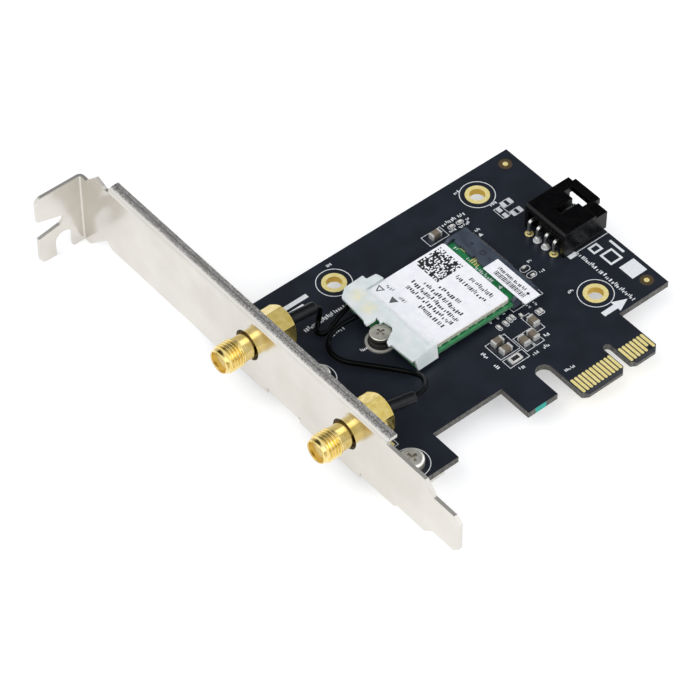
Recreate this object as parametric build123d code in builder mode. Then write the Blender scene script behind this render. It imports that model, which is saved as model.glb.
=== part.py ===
from build123d import *
import os
from math import pi, tan

os.makedirs("parts", exist_ok=True)

# Frame in mm: origin on the contact edge at the centre of the key notch, component face at z 0
# X runs from the bracket to the far edge, Y from the contact edge up to the fixing tab

# Circuit board outline
BOARD_T = 1.57
KEY_TO_LEFT = 57.15
BOARD_RIGHT = 21.9
BOARD_BACK = 62.1
FOOT_RIGHT = -41.9
FOOT_Y = 4.4
GAP_RIGHT = -23.8
GAP_TOP = 12.2
LUG_Y = 4.04
SIDE_NOTCH_W = 3.82
SIDE_NOTCH_TOP = 12.0
TONGUE_LEFT = -12.15
TONGUE_RIGHT = 8.15
TONGUE_CHAMFER = 1.1
TONGUE_ROOT = 12.0
KEY_W = 1.9
KEY_DEPTH = 7.6
KEY_CHAMFER = 1.0
BEVEL_Z = 0.35
BEVEL_Y = 0.75

# Edge contacts
CONTACT_PITCH = 1.0
CONTACT_W = 0.7
CONTACT_T = 0.05
CONTACT_LOW = 0.85
CONTACT_HIGH = 5.05
CONTACT_SHORT_LOW = 1.8
KEY_TO_CONTACT = 1.5
CONTACTS_BEFORE_KEY = 11
CONTACTS_AFTER_KEY = 7

# Plated holes
PLATED_HOLE_R = 1.7
PLATING_T = 0.035
RING_R = 2.68
MOUNT_HOLES = [(-30.9, 55.9), (8.25, 55.9), (8.25, 19.2)]

# Bracket sheet
SHEET_T = 0.86
BEND_IN_R = 0.4
BRACKET_GAP = 0.97
STRIP_W = 18.42
TAB_FACE_Y = 105.02
BRACKET_LENGTH = 120.02
STRIP_HEAD_Y = 94.4
PRONG_W = 10.19
PRONG_RISE = 4.14
PRONG_SHOULDER_Y = -7.5
PRONG_CHAMFER = 1.6
NECK_Y = -5.0
NECK_LOW_RISE = 1.95
NECK_HIGH_DROP = 0.99
FLANGE_DEPTH = 2.75
FLANGE_LOW_Y = 6.4
TAB_REACH = 11.43
TAB_LOW_Z = -6.82
TAB_HIGH_Z = 11.95
TAB_CORNER_R = 1.6
SCREW_SLOT_W = 4.42
SCREW_SLOT_OFFSET = 5.17
SCREW_SLOT_TOP_Z = -1.0
SIDE_SLOT_MOUTH = (0.4, 5.6)
SIDE_SLOT_END = (1.35, 4.05)
SIDE_SLOT_END_OFFSET = 6.3
HEAD_LOW_NOTCH = (1.6, 1.47)
HEAD_CORNER = 4.2
HEAD_LOW_OUT = 0.81
HEAD_HIGH_IN = 0.29
HEAD_HIGH_NOTCH = [(1.9, 1.09), (1.2, 1.49)]

# Board fixing tabs and their screws
FIX_SCREWS = [(-50.05, 9.15), (-50.1, 37.9)]
FIX_TAB_W = 9.5
FIX_TAB_REACH = 12.6
FIX_RELIEF_W = 0.4
FIX_RELIEF_H = 0.3
FIX_SHANK_R = 1.45
FIX_HOLE_GAP = 0.05
FIX_HEAD_R = 2.7
FIX_HEAD_H = 1.8
FIX_BELOW_TAB = 0.7
CROSS_W = 0.75
CROSS_L = 2.6
CROSS_DEPTH = 0.9
FIX_HEAD_EDGE_R = 0.7

# Antenna jacks
JACK_Z = 6.78
JACK_Y = [49.2, 18.9]
JACK_HOLE_R = 3.5
JACK_COLLAR_R = 2.8
JACK_COLLAR_L = 2.6
JACK_THREAD_R = 3.1
JACK_OUT = 7.4
JACK_END_L = 0.9
JACK_END_R = 2.7
JACK_END_CHAMFER = 0.3
JACK_HEX_AF = 8.0
JACK_HEX_L = 8.77
JACK_HEX_TURN = [-6.0, -2.0]
JACK_HEX_RIM_IN = 0.1
JACK_HEX_RIM_ANGLE = 30
JACK_BORE_R = 2.3
JACK_BORE_L = 5.6
INSULATOR_L = 4.2
INSULATOR_BORE_R = 0.75
INSULATOR_LIP = 1.0
JACK_PIN_R = 0.46
JACK_PIN_RECESS = 1.9
JACK_PIN_REAR = 1.2
JACK_REAR_BORE_R = 0.5

# Leads
LEAD_D = 1.13
FERRULE_R = 0.9
FERRULE_L = 4.2
SLEEVE_R = 1.3
SLEEVE_FIT = 0.03
SLEEVE_L = 7.5
SLEEVE_EDGE_R = 0.35
LOWER_ROUTE = [
    (-40.19, 17.41, 6.19),
    (-36.4, 20.5, 4.4),
    (-35.0, 25.0, 1.9),
    (-39.9, 32.2, 1.3),
    (-45.0, 38.3, 1.3),
    (-43.7, 43.6, 1.5),
    (-38.8, 44.5),
]
UPPER_ROUTE = [
    (-40.25, 48.7, 6.18),
    (-40.55, 49.2, 0.95),
    (-43.1, 47.2, 0.85),
    (-41.7, 45.1, 1.0),
    (-37.9, 46.2),
]

# Radio module
MODULE_W = 22.0
MODULE_L = 30.0
MODULE_T = 0.8
MODULE_LEFT = -34.1
MODULE_Y = 37.4
MODULE_Z = 1.4
MODULE_TONGUE_MARGIN = 0.925
MODULE_TONGUE_L = 4.0
MODULE_NOTCH_R = 1.75
MODULE_CONTACT_W = 0.35
MODULE_CONTACT_L = 1.9
MODULE_CONTACT_T = 0.03
MODULE_CONTACT_BACK = 0.2
SHIELD_INSET_X = (4.2, 4.8)
SHIELD_INSET_Y = (1.1, 1.2)
SHIELD_H = 1.4
SHIELD_T = 0.2
SHIELD_CORNER_R = 0.6
SHIELD_EDGE_R = 0.25
LABEL_T = 0.08
LABEL_INSET = 0.35
RADIO_CHIP_SIZE = (9.0, 9.0)
RADIO_CHIP_H = 0.85
RADIO_CHIP_OFF = (1.4, 0.65)
AMPLIFIER_SIZE = (3.0, 3.0)
AMPLIFIER_H = 0.75
AMPLIFIERS_OFF = [(-7.1, -3.35), (-7.1, 4.65)]
CRYSTAL_SIZE = (2.5, 2.0)
CRYSTAL_H = 0.6
CRYSTAL_OFF = (1.4, -6.85)
RECEPTACLE_INSETS = [(2.1, 5.2), (1.9, 1.0)]
RECEPTACLE_W = 2.0
RECEPTACLE_BASE_T = 0.2
RECEPTACLE_R = 0.72
RECEPTACLE_BORE_R = 0.5
RECEPTACLE_H = 0.8
RECEPTACLE_PIN_R = 0.14
RECEPTACLE_PIN_DROP = 0.1
PLUG_R = 1.0
PLUG_GAP = 0.03
PLUG_TOP = 1.25
PLUG_ROOF_T = 0.3
PLUG_TAIL_R = 0.53
PLUG_TAIL_IN = 0.8
PLUG_TAIL_L = 1.7
PLUG_LEAD_Z = 0.75

# Module socket
SOCKET_LAP = 3.8
SOCKET_LENGTH = 6.8
SOCKET_END_WALL = 0.775
SOCKET_EDGE_R = 0.2
SOCKET_TOP = 3.2
SOCKET_FOOT = 0.15
SLOT_GAP_UNDER = 0.05
SLOT_GAP_OVER = 0.15
SLOT_END_GAP = 0.15
SLOT_SIDE_GAP = 0.1
JAW_SETBACK = 0.7
SOCKET_PITCH = 0.5
SOCKET_PLACES = 37
SOCKET_KEY_PLACES = range(8, 12)
SPRING_W = 0.22
SPRING_T = 0.15
SPRING_GAP = 0.04
SPRING_INSET = 0.1
SPRING_BEAM_RISE = 0.2
SPRING_BEAM_BACK = 0.6
SPRING_TIP_BACK = 1.2
SLIT_H = 0.45
SLIT_SETBACK = 2.2
TAIL_OUT = 1.3
HOLD_DOWN_T = 0.2
HOLD_DOWN_L = 2.2
HOLD_DOWN_H = 1.0
SOCKET_LABEL_W = 3.9
SOCKET_LABEL_IN = 1.3
SOCKET_LABEL_START = -0.2
SOCKET_LABEL_FOLD_OUT = 0.15
SOCKET_LABEL_FALL = (0.95, 1.74)

# Standoff and module screw
STANDOFF_FLANGE_R = 3.2
STANDOFF_FLANGE_H = 0.3
STANDOFF_R = 2.3
STANDOFF_PILOT_R = 1.65
STANDOFF_PILOT_H = 0.5
MODULE_SCREW_R = 0.95
MODULE_SCREW_GAP = 0.05
MODULE_SCREW_HEAD_R = 2.35
MODULE_SCREW_HEAD_H = 0.75
MODULE_SCREW_L = 2.6
MODULE_SCREW_EDGE_R = 0.25
MODULE_CROSS = (2.0, 0.5)
MODULE_CROSS_DEPTH = 0.5

# Retaining clip
CLIP_T = 0.7
CLIP_GAP = 0.05
CLIP_OVERHANG = 1.4
CLIP_REACH = 9.1
CLIP_STEP_REACH = 7.0
CLIP_STEP_Y_OFF = -2.6
CLIP_STEP_RISE = 0.8
CLIP_FRONT_OUT = 0.6
CLIP_FRONT_SLOPE = 2.2
CLIP_FRONT_EXTRA = 0.6
CLIP_BACK_OUT = 1.9
CLIP_LOBE_IN = 1.1
CLIP_LOBE_CUT = (0.6, 1.2)
CLIP_BACK_CUT = [(0.5, 1.5), (0.0, 3.0)]
CLIP_FRONT_FLAP_X_OFF = (0.0, 6.2)
CLIP_BACK_FLAP_X_OFF = (-0.1, 6.2)
CLIP_SCREW_R = 3.05
CLIP_MOUTH_W = 5.25
CLIP_HOOK = 1.0
CLIP_HOOK_T = 0.45
CLIP_EDGE_R = 0.5

# Latching header
PIN_PITCH = 2.54
PIN_COUNT = 4
PIN_SIDE = 0.64
PIN_X = 9.1
HEADER_Y = 36.7
HEADER_W = 12.0
HEADER_X = (9.7, 21.7)
HEADER_H = 6.8
POCKET_L = 1.6
POCKET_CHEEK = 1.0
POCKET_ROOF_Z = 5.2
BACK_WALL_T = 1.3
CAVITY_SIDE_T = 0.7
CAVITY_LOW_Z = 1.2
CAVITY_ROOF_Z = 5.3
FLOOR_SETBACK = 1.4
SLIT_X = (13.2, 18.2)
SLIT_W = 1.8
WINDOW_X = (18.2, 20.5)
WINDOW_Y = (34.5, 40.2)
HOOD_Y = (33.9, 41.4)
HOOD_OUT = 0.85
SHELF_L = 3.2
SHELF_DROP = 0.8
HEADER_CHAMFER = 0.5
PIN_HIGH_Z = 3.5
PIN_REACH = 7.0
PIN_BEND_R = 0.7
PIN_BELOW = 1.2
PIN_FIT = 0.02
PIN_HOLE_R = 0.5
PIN_PAD_R = 0.95
SOLDER_R = 0.85
SOLDER_H = 0.9
SOLDER_TAPER = 18

# Small parts on the board face: x, y and whether the long side runs along X
CAPACITOR_SIZE = (2.5, 1.45, 1.25)
CAPACITOR_END = 0.45
CAPACITORS = [
    (-16.37, 21.77, True),
    (-16.37, 19.25, True),
    (-12.0, 18.6, False),
    (-9.54, 18.6, False),
    (-7.0, 21.4, False),
    (-6.45, 52.4, True),
]
RESISTOR_SIZE = (2.9, 1.55, 0.5)
RESISTOR_END = 0.4
RESISTOR_AT = (-16.4, 16.3)
RESISTOR_FILM_T = 0.05
RESISTOR_FILM_SIZE = (1.75, 0.95)
CHIP_SIZE = (1.0, 0.5, 0.35)
CHIP_END = 0.25
CHIPS = [
    (-13.2, 24.8, False),
    (-11.4, 24.8, False),
    (-10.1, 25.1, False),
    (-9.2, 25.2, False),
    (-7.6, 24.4, False),
    (-4.3, 22.8, False),
    (-3.5, 22.8, False),
    (-2.0, 52.4, True),
    (0.2, 52.3, True),
    (1.7, 34.0, True),
    (1.7, 31.2, True),
]
FIDUCIALS = [(18.8, 58.9), (18.8, 15.2)]
FIDUCIAL_R = 0.6
BARE_PADS = [
    (10.5, 50.2),
    (12.3, 50.2),
    (10.5, 47.0),
    (12.3, 47.0),
    (8.8, 49.6),
    (8.8, 47.6),
    (-49.9, 15.5),
]
BARE_PAD_SIZE = (1.0, 1.4)

# Sizes that follow from the values above
BOARD_LEFT = -KEY_TO_LEFT
TAB_TOP_Z = -BOARD_T
STRIP_LOW = TAB_TOP_Z - SHEET_T
STRIP_HIGH = STRIP_LOW + STRIP_W
SHEET_IN_X = BOARD_LEFT - BRACKET_GAP
SHEET_OUT_X = SHEET_IN_X - SHEET_T
SHEET_MID_X = SHEET_IN_X - SHEET_T / 2
BEND_MID_R = BEND_IN_R + SHEET_T / 2
BEND_OUT_R = BEND_IN_R + SHEET_T
PRONG_END_Y = TAB_FACE_Y - BRACKET_LENGTH
PRONG_LOW = STRIP_LOW + PRONG_RISE
PRONG_HIGH = PRONG_LOW + PRONG_W
MODULE_TOP = MODULE_Z + MODULE_T
MODULE_RIGHT = MODULE_LEFT + MODULE_L
MODULE_FRONT = MODULE_Y - MODULE_W / 2
MODULE_BACK = MODULE_Y + MODULE_W / 2
MODULE_TONGUE_W = (SOCKET_PLACES - 1) * SOCKET_PITCH + 2 * MODULE_TONGUE_MARGIN
RECEPTACLES = [(MODULE_LEFT + x, MODULE_BACK - y) for x, y in RECEPTACLE_INSETS]
SHIELD_X = (MODULE_LEFT + SHIELD_INSET_X[0], MODULE_RIGHT - SHIELD_INSET_X[1])
SHIELD_Y = (MODULE_FRONT + SHIELD_INSET_Y[0], MODULE_BACK - SHIELD_INSET_Y[1])
SHIELD_MID = ((SHIELD_X[0] + SHIELD_X[1]) / 2, (SHIELD_Y[0] + SHIELD_Y[1]) / 2)
SHIELD_SIZE = (SHIELD_X[1] - SHIELD_X[0], SHIELD_Y[1] - SHIELD_Y[0])
SHIELD_TOP = MODULE_TOP + SHIELD_H
SOCKET_X = (MODULE_RIGHT - SOCKET_LAP, MODULE_RIGHT - SOCKET_LAP + SOCKET_LENGTH)
SOCKET_W = MODULE_TONGUE_W + 2 * (SLOT_SIDE_GAP + SOCKET_END_WALL)
CLIP_Z = SHIELD_TOP + LABEL_T + CLIP_GAP
CLIP_LEFT = MODULE_LEFT - CLIP_OVERHANG
CLIP_RIGHT = MODULE_LEFT + CLIP_REACH
CLIP_STEP_X = MODULE_LEFT + CLIP_STEP_REACH
CLIP_STEP_Y = MODULE_Y + CLIP_STEP_Y_OFF
CLIP_FRONT_Y = MODULE_FRONT - CLIP_FRONT_OUT
CLIP_BACK_Y = MODULE_BACK + CLIP_BACK_OUT
CLIP_LOBE_Y = CLIP_BACK_Y - CLIP_LOBE_IN
CLIP_FRONT_FLAP_X = [MODULE_LEFT + x for x in CLIP_FRONT_FLAP_X_OFF]
CLIP_BACK_FLAP_X = [MODULE_LEFT + x for x in CLIP_BACK_FLAP_X_OFF]
HEX_REAR_X = SHEET_IN_X + JACK_HEX_L
JACK_END_X = SHEET_OUT_X - JACK_OUT
SLOT_LOW = MODULE_Z - SLOT_GAP_UNDER
SLOT_HIGH = MODULE_TOP + SLOT_GAP_OVER
STANDOFF_AT = (MODULE_LEFT, MODULE_Y)
PIN_YS = [HEADER_Y + (i - (PIN_COUNT - 1) / 2) * PIN_PITCH for i in range(PIN_COUNT)]

# Circuit board
with BuildPart() as board:
    with BuildSketch(Plane.XY.offset(-BOARD_T)):
        with BuildLine():
            Polyline(
                (BOARD_LEFT, BOARD_BACK),
                (BOARD_LEFT, FOOT_Y),
                (FOOT_RIGHT, FOOT_Y),
                (FOOT_RIGHT, GAP_TOP),
                (GAP_RIGHT, GAP_TOP),
                (GAP_RIGHT, LUG_Y),
                (TONGUE_LEFT - SIDE_NOTCH_W, LUG_Y),
                (TONGUE_LEFT, LUG_Y),
                (TONGUE_LEFT, TONGUE_CHAMFER),
                (TONGUE_LEFT + TONGUE_CHAMFER, 0),
                (-KEY_W / 2 - KEY_CHAMFER, 0),
                (-KEY_W / 2, KEY_CHAMFER),
                (KEY_W / 2, KEY_CHAMFER),
                (KEY_W / 2 + KEY_CHAMFER, 0),
                (TONGUE_RIGHT - TONGUE_CHAMFER, 0),
                (TONGUE_RIGHT, TONGUE_CHAMFER),
                (TONGUE_RIGHT, TONGUE_ROOT),
                (BOARD_RIGHT, TONGUE_ROOT),
                (BOARD_RIGHT, BOARD_BACK),
                close=True,
            )
        make_face()
        # Round-topped notch beside the contact tongue
        with Locations((TONGUE_LEFT - SIDE_NOTCH_W / 2, SIDE_NOTCH_TOP - SIDE_NOTCH_W / 2)):
            Circle(SIDE_NOTCH_W / 2, mode=Mode.SUBTRACT)
            Rectangle(SIDE_NOTCH_W, SIDE_NOTCH_TOP, align=(Align.CENTER, Align.MAX), mode=Mode.SUBTRACT)
        # Key notch between the two contact groups
        with Locations((0, KEY_DEPTH - KEY_W / 2)):
            Circle(KEY_W / 2, mode=Mode.SUBTRACT)
            Rectangle(KEY_W, KEY_DEPTH, align=(Align.CENTER, Align.MAX), mode=Mode.SUBTRACT)
        with Locations(*MOUNT_HOLES, *FIX_SCREWS):
            Circle(PLATED_HOLE_R, mode=Mode.SUBTRACT)
        with Locations(*[(PIN_X, y) for y in PIN_YS]):
            Circle(PIN_HOLE_R, mode=Mode.SUBTRACT)
        with Locations(STANDOFF_AT):
            Circle(STANDOFF_R, mode=Mode.SUBTRACT)
    extrude(amount=BOARD_T)
    # Lead-in bevel on both faces of the contact edge
    with BuildSketch(Plane.YZ.offset(TONGUE_LEFT)):
        with BuildLine():
            Polyline((0, 0), (BEVEL_Y, 0), (0, -BEVEL_Z), close=True)
        make_face()
        with BuildLine():
            Polyline((0, -BOARD_T), (BEVEL_Y, -BOARD_T), (0, BEVEL_Z - BOARD_T), close=True)
        make_face()
    extrude(amount=TONGUE_RIGHT - TONGUE_LEFT, mode=Mode.SUBTRACT)
board.part.label = "board"
export_step(board.part, "parts/board.step")


def contact_rows(low_z, short_index):
    xs = [-KEY_TO_CONTACT - i * CONTACT_PITCH for i in reversed(range(CONTACTS_BEFORE_KEY))]
    xs += [KEY_TO_CONTACT + i * CONTACT_PITCH for i in range(CONTACTS_AFTER_KEY)]
    with BuildPart() as row:
        with BuildSketch(Plane.XY.offset(low_z)):
            for i, x in enumerate(xs):
                low = CONTACT_SHORT_LOW if i == short_index else CONTACT_LOW
                with Locations((x, low)):
                    Rectangle(CONTACT_W, CONTACT_HIGH - low, align=(Align.CENTER, Align.MIN))
        extrude(amount=CONTACT_T)
    return row


# Edge contacts, one short presence contact on each face
edge_contacts_top = contact_rows(0, 16)
edge_contacts_top.part.label = "edge_contacts_top"
export_step(edge_contacts_top.part, "parts/edge_contacts_top.step")

edge_contacts_bottom = contact_rows(-BOARD_T - CONTACT_T, 0)
edge_contacts_bottom.part.label = "edge_contacts_bottom"
export_step(edge_contacts_bottom.part, "parts/edge_contacts_bottom.step")

# Flat gold rings round the plated holes, the screw holes' rear face bare for the bracket's tabs
with BuildPart() as plated_holes:
    with BuildSketch(Plane.XY):
        with Locations(*MOUNT_HOLES, *FIX_SCREWS):
            Circle(RING_R)
            Circle(PLATED_HOLE_R, mode=Mode.SUBTRACT)
    extrude(amount=PLATING_T)
    with BuildSketch(Plane.XY.offset(-BOARD_T)):
        with Locations(*MOUNT_HOLES):
            Circle(RING_R)
            Circle(PLATED_HOLE_R, mode=Mode.SUBTRACT)
    extrude(amount=-PLATING_T)
plated_holes.part.label = "plated_holes"
export_step(plated_holes.part, "parts/plated_holes.step")

# Bare gold pads and the two round alignment dots
with BuildPart() as surface_pads:
    with BuildSketch(Plane.XY):
        with Locations(*FIDUCIALS):
            Circle(FIDUCIAL_R)
        with Locations(*BARE_PADS):
            Rectangle(*BARE_PAD_SIZE)
        with Locations(*[(PIN_X, y) for y in PIN_YS]):
            Circle(PIN_PAD_R)
            Circle(PIN_HOLE_R, mode=Mode.SUBTRACT)
    extrude(amount=PLATING_T)
    with BuildSketch(Plane.XY.offset(-BOARD_T)):
        with Locations(*[(PIN_X, y) for y in PIN_YS]):
            Circle(PIN_PAD_R)
            Circle(PIN_HOLE_R, mode=Mode.SUBTRACT)
    extrude(amount=-PLATING_T)
surface_pads.part.label = "surface_pads"
export_step(surface_pads.part, "parts/surface_pads.step")


def tab_relief(y):
    # The strip's lower edge round a board tab, with a slot on each side of its fold
    low = y - FIX_TAB_W / 2
    high = y + FIX_TAB_W / 2
    root = STRIP_LOW + BEND_OUT_R
    top = root + FIX_RELIEF_H
    return [
        (low - FIX_RELIEF_W, top),
        (low, top),
        (low, root),
        (high, root),
        (high, top),
        (high + FIX_RELIEF_W, top),
    ]


# Bracket, one folded sheet: strip, prong, stiffening flange, fixing tab and two board tabs
with BuildPart() as bracket:
    first_tab = tab_relief(FIX_SCREWS[0][1])
    second_tab = tab_relief(FIX_SCREWS[1][1])
    head_y = STRIP_HEAD_Y + HEAD_CORNER
    head_low = STRIP_LOW - HEAD_LOW_OUT
    head_high = STRIP_HIGH - HEAD_HIGH_IN
    with BuildSketch(Plane.YZ.offset(SHEET_IN_X)):
        with BuildLine():
            Polyline(
                (PRONG_END_Y, PRONG_LOW + PRONG_CHAMFER),
                (PRONG_END_Y + PRONG_CHAMFER, PRONG_LOW),
                (PRONG_SHOULDER_Y, PRONG_LOW),
                (NECK_Y, STRIP_LOW + NECK_LOW_RISE),
                (first_tab[0][0], STRIP_LOW + NECK_LOW_RISE),
                *first_tab,
                (first_tab[-1][0], STRIP_LOW),
                (second_tab[0][0], STRIP_LOW),
                *second_tab,
                (second_tab[-1][0], STRIP_LOW),
                (STRIP_HEAD_Y, STRIP_LOW),
                (STRIP_HEAD_Y + HEAD_LOW_NOTCH[0], STRIP_LOW + HEAD_LOW_NOTCH[1]),
                (head_y, head_low),
                (head_y + head_low - TAB_LOW_Z, TAB_LOW_Z),
                (TAB_FACE_Y - BEND_OUT_R, TAB_LOW_Z),
                (TAB_FACE_Y - BEND_OUT_R, TAB_HIGH_Z),
                (head_y + head_high - TAB_HIGH_Z, TAB_HIGH_Z),
                (head_y, head_high),
                *[(STRIP_HEAD_Y + along, STRIP_HIGH - down) for along, down in HEAD_HIGH_NOTCH],
                (STRIP_HEAD_Y, STRIP_HIGH - BEND_OUT_R),
                (FLANGE_LOW_Y, STRIP_HIGH - BEND_OUT_R),
                (FLANGE_LOW_Y, STRIP_HIGH - NECK_HIGH_DROP),
                (NECK_Y, STRIP_HIGH - NECK_HIGH_DROP),
                (PRONG_SHOULDER_Y, PRONG_HIGH),
                (PRONG_END_Y + PRONG_CHAMFER, PRONG_HIGH),
                (PRONG_END_Y, PRONG_HIGH - PRONG_CHAMFER),
                close=True,
            )
        make_face()
        with Locations(*[(y, JACK_Z) for y in JACK_Y]):
            Circle(JACK_HOLE_R, mode=Mode.SUBTRACT)
    extrude(amount=-SHEET_T)
    # Stiffening flange along the upper edge
    with BuildSketch(Plane.XZ.offset(-FLANGE_LOW_Y)):
        with BuildLine():
            FilletPolyline(
                (SHEET_MID_X, STRIP_HIGH - 2 * BEND_OUT_R),
                (SHEET_MID_X, STRIP_HIGH - SHEET_T / 2),
                (SHEET_OUT_X + FLANGE_DEPTH, STRIP_HIGH - SHEET_T / 2),
                radius=BEND_MID_R,
            )
        trace(line_width=SHEET_T)
    extrude(amount=-(STRIP_HEAD_Y - FLANGE_LOW_Y))
    # Board tabs, folded in under the board
    for x, y in FIX_SCREWS:
        with BuildSketch(Plane.XZ.offset(-(y - FIX_TAB_W / 2))):
            with BuildLine():
                FilletPolyline(
                    (SHEET_MID_X, STRIP_LOW + 2 * BEND_OUT_R),
                    (SHEET_MID_X, STRIP_LOW + SHEET_T / 2),
                    (SHEET_IN_X + FIX_TAB_REACH, STRIP_LOW + SHEET_T / 2),
                    radius=BEND_MID_R,
                )
            trace(line_width=SHEET_T)
        extrude(amount=-FIX_TAB_W)
    with BuildSketch(Plane.XY.offset(STRIP_LOW)):
        with Locations(*FIX_SCREWS):
            Circle(FIX_SHANK_R + FIX_HOLE_GAP)
    extrude(amount=SHEET_T, mode=Mode.SUBTRACT)
    # Fixing tab, folded outwards at the top end
    with BuildSketch(Plane.XY.offset(TAB_LOW_Z)):
        with BuildLine():
            FilletPolyline(
                (SHEET_MID_X, TAB_FACE_Y - 2 * BEND_OUT_R),
                (SHEET_MID_X, TAB_FACE_Y - SHEET_T / 2),
                (SHEET_OUT_X - TAB_REACH, TAB_FACE_Y - SHEET_T / 2),
                radius=BEND_MID_R,
            )
        trace(line_width=SHEET_T)
    extrude(amount=TAB_HIGH_Z - TAB_LOW_Z)
    tab_corners = bracket.edges().filter_by(Axis.Y).group_by(Axis.X)[0]
    fillet(tab_corners, TAB_CORNER_R)
    # Screw slot and the tapered side slot in the tab
    with BuildSketch(Plane.XZ.offset(-TAB_FACE_Y + SHEET_T)):
        slot_x = SHEET_OUT_X - SCREW_SLOT_OFFSET
        slot_r = SCREW_SLOT_W / 2
        with Locations((slot_x, SCREW_SLOT_TOP_Z - slot_r)):
            Circle(slot_r)
            Rectangle(SCREW_SLOT_W, 2 * SCREW_SLOT_W, align=(Align.CENTER, Align.MAX))
        end_x = SHEET_OUT_X - SIDE_SLOT_END_OFFSET
        mouth_x = SHEET_OUT_X - TAB_REACH
        with BuildLine():
            Polyline(
                (mouth_x, SIDE_SLOT_MOUTH[0]),
                (end_x, SIDE_SLOT_END[0]),
                (end_x, SIDE_SLOT_END[1]),
                (mouth_x, SIDE_SLOT_MOUTH[1]),
                close=True,
            )
        make_face()
        with Locations((end_x, (SIDE_SLOT_END[0] + SIDE_SLOT_END[1]) / 2)):
            Circle((SIDE_SLOT_END[1] - SIDE_SLOT_END[0]) / 2)
    extrude(amount=-SHEET_T, mode=Mode.SUBTRACT)
bracket.part.label = "bracket"
export_step(bracket.part, "parts/bracket.step")

# Pan-head screws that clamp the board to the bracket tabs
with BuildPart() as bracket_screws:
    with BuildSketch(Plane.XY.offset(PLATING_T)):
        with Locations(*FIX_SCREWS):
            Circle(FIX_HEAD_R)
    extrude(amount=FIX_HEAD_H)
    rims = bracket_screws.edges().filter_by(GeomType.CIRCLE).group_by(Axis.Z)[-1]
    fillet(rims, FIX_HEAD_EDGE_R)
    with BuildSketch(Plane.XY.offset(PLATING_T)):
        with Locations(*FIX_SCREWS):
            Circle(FIX_SHANK_R)
    extrude(amount=-(PLATING_T + BOARD_T + SHEET_T + FIX_BELOW_TAB))
    with BuildSketch(Plane.XY.offset(PLATING_T + FIX_HEAD_H)):
        with Locations(*FIX_SCREWS):
            Rectangle(CROSS_L, CROSS_W)
            Rectangle(CROSS_W, CROSS_L)
    extrude(amount=-CROSS_DEPTH, mode=Mode.SUBTRACT)
bracket_screws.part.label = "bracket_screws"
export_step(bracket_screws.part, "parts/bracket_screws.step")


def jack_body(y, turn):
    axis_plane = Plane(origin=(SHEET_IN_X, y, JACK_Z), x_dir=(0, 1, 0), z_dir=(1, 0, 0))
    section = Plane(origin=(SHEET_IN_X, y, JACK_Z), x_dir=(-1, 0, 0), z_dir=(0, 1, 0))
    total = SHEET_T + JACK_OUT
    with BuildPart() as jack:
        # Neck, smooth collar, threaded length and plain end, turned about the jack axis
        with BuildSketch(section):
            with BuildLine():
                Polyline(
                    (0, 0),
                    (0, JACK_COLLAR_R),
                    (SHEET_T + JACK_COLLAR_L, JACK_COLLAR_R),
                    (SHEET_T + JACK_COLLAR_L, JACK_THREAD_R),
                    (total - JACK_END_L, JACK_THREAD_R),
                    (total - JACK_END_L, JACK_END_R),
                    (total - JACK_END_CHAMFER, JACK_END_R),
                    (total, JACK_END_R - JACK_END_CHAMFER),
                    (total, 0),
                    close=True,
                )
            make_face()
        revolve(axis=Axis((SHEET_IN_X, y, JACK_Z), (1, 0, 0)))
        # Hexagon behind the sheet, its rear rim turned back to a cone
        with BuildSketch(axis_plane):
            RegularPolygon(JACK_HEX_AF / 2, 6, major_radius=False, rotation=90 + turn)
        extrude(amount=JACK_HEX_L)
        rim_r = JACK_HEX_AF / 2 - JACK_HEX_RIM_IN
        rim_back = (JACK_HEX_AF - rim_r) * tan(JACK_HEX_RIM_ANGLE * pi / 180)
        with BuildSketch(section):
            with BuildLine():
                Polyline(
                    (-JACK_HEX_L, rim_r),
                    (-JACK_HEX_L, JACK_HEX_AF),
                    (-JACK_HEX_L + rim_back, JACK_HEX_AF),
                    close=True,
                )
            make_face()
        revolve(axis=Axis((SHEET_IN_X, y, JACK_Z), (1, 0, 0)), mode=Mode.SUBTRACT)
        # Front bore, then the small rear bore that lets the centre pin through
        with BuildSketch(axis_plane.offset(-total)):
            Circle(JACK_BORE_R)
        extrude(amount=JACK_BORE_L, mode=Mode.SUBTRACT)
        with BuildSketch(axis_plane.offset(-total)):
            Circle(JACK_REAR_BORE_R)
        extrude(amount=JACK_BORE_L + JACK_PIN_REAR, mode=Mode.SUBTRACT)
    return jack


antenna_jack_upper = jack_body(JACK_Y[0], JACK_HEX_TURN[0])
antenna_jack_upper.part.label = "antenna_jack_upper"
export_step(antenna_jack_upper.part, "parts/antenna_jack_upper.step")

antenna_jack_lower = jack_body(JACK_Y[1], JACK_HEX_TURN[1])
antenna_jack_lower.part.label = "antenna_jack_lower"
export_step(antenna_jack_lower.part, "parts/antenna_jack_lower.step")


def insulator_body(y):
    front = Plane(origin=(JACK_END_X + JACK_BORE_L, y, JACK_Z), x_dir=(0, 1, 0), z_dir=(-1, 0, 0))
    with BuildPart() as insulator:
        with BuildSketch(front):
            Circle(JACK_BORE_R)
            Circle(INSULATOR_BORE_R, mode=Mode.SUBTRACT)
        extrude(amount=INSULATOR_L)
        with BuildSketch(front):
            Circle(INSULATOR_BORE_R)
            Circle(JACK_PIN_R, mode=Mode.SUBTRACT)
        extrude(amount=INSULATOR_LIP)
    return insulator


jack_insulator_upper = insulator_body(JACK_Y[0])
jack_insulator_upper.part.label = "jack_insulator_upper"
export_step(jack_insulator_upper.part, "parts/jack_insulator_upper.step")

jack_insulator_lower = insulator_body(JACK_Y[1])
jack_insulator_lower.part.label = "jack_insulator_lower"
export_step(jack_insulator_lower.part, "parts/jack_insulator_lower.step")


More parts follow.
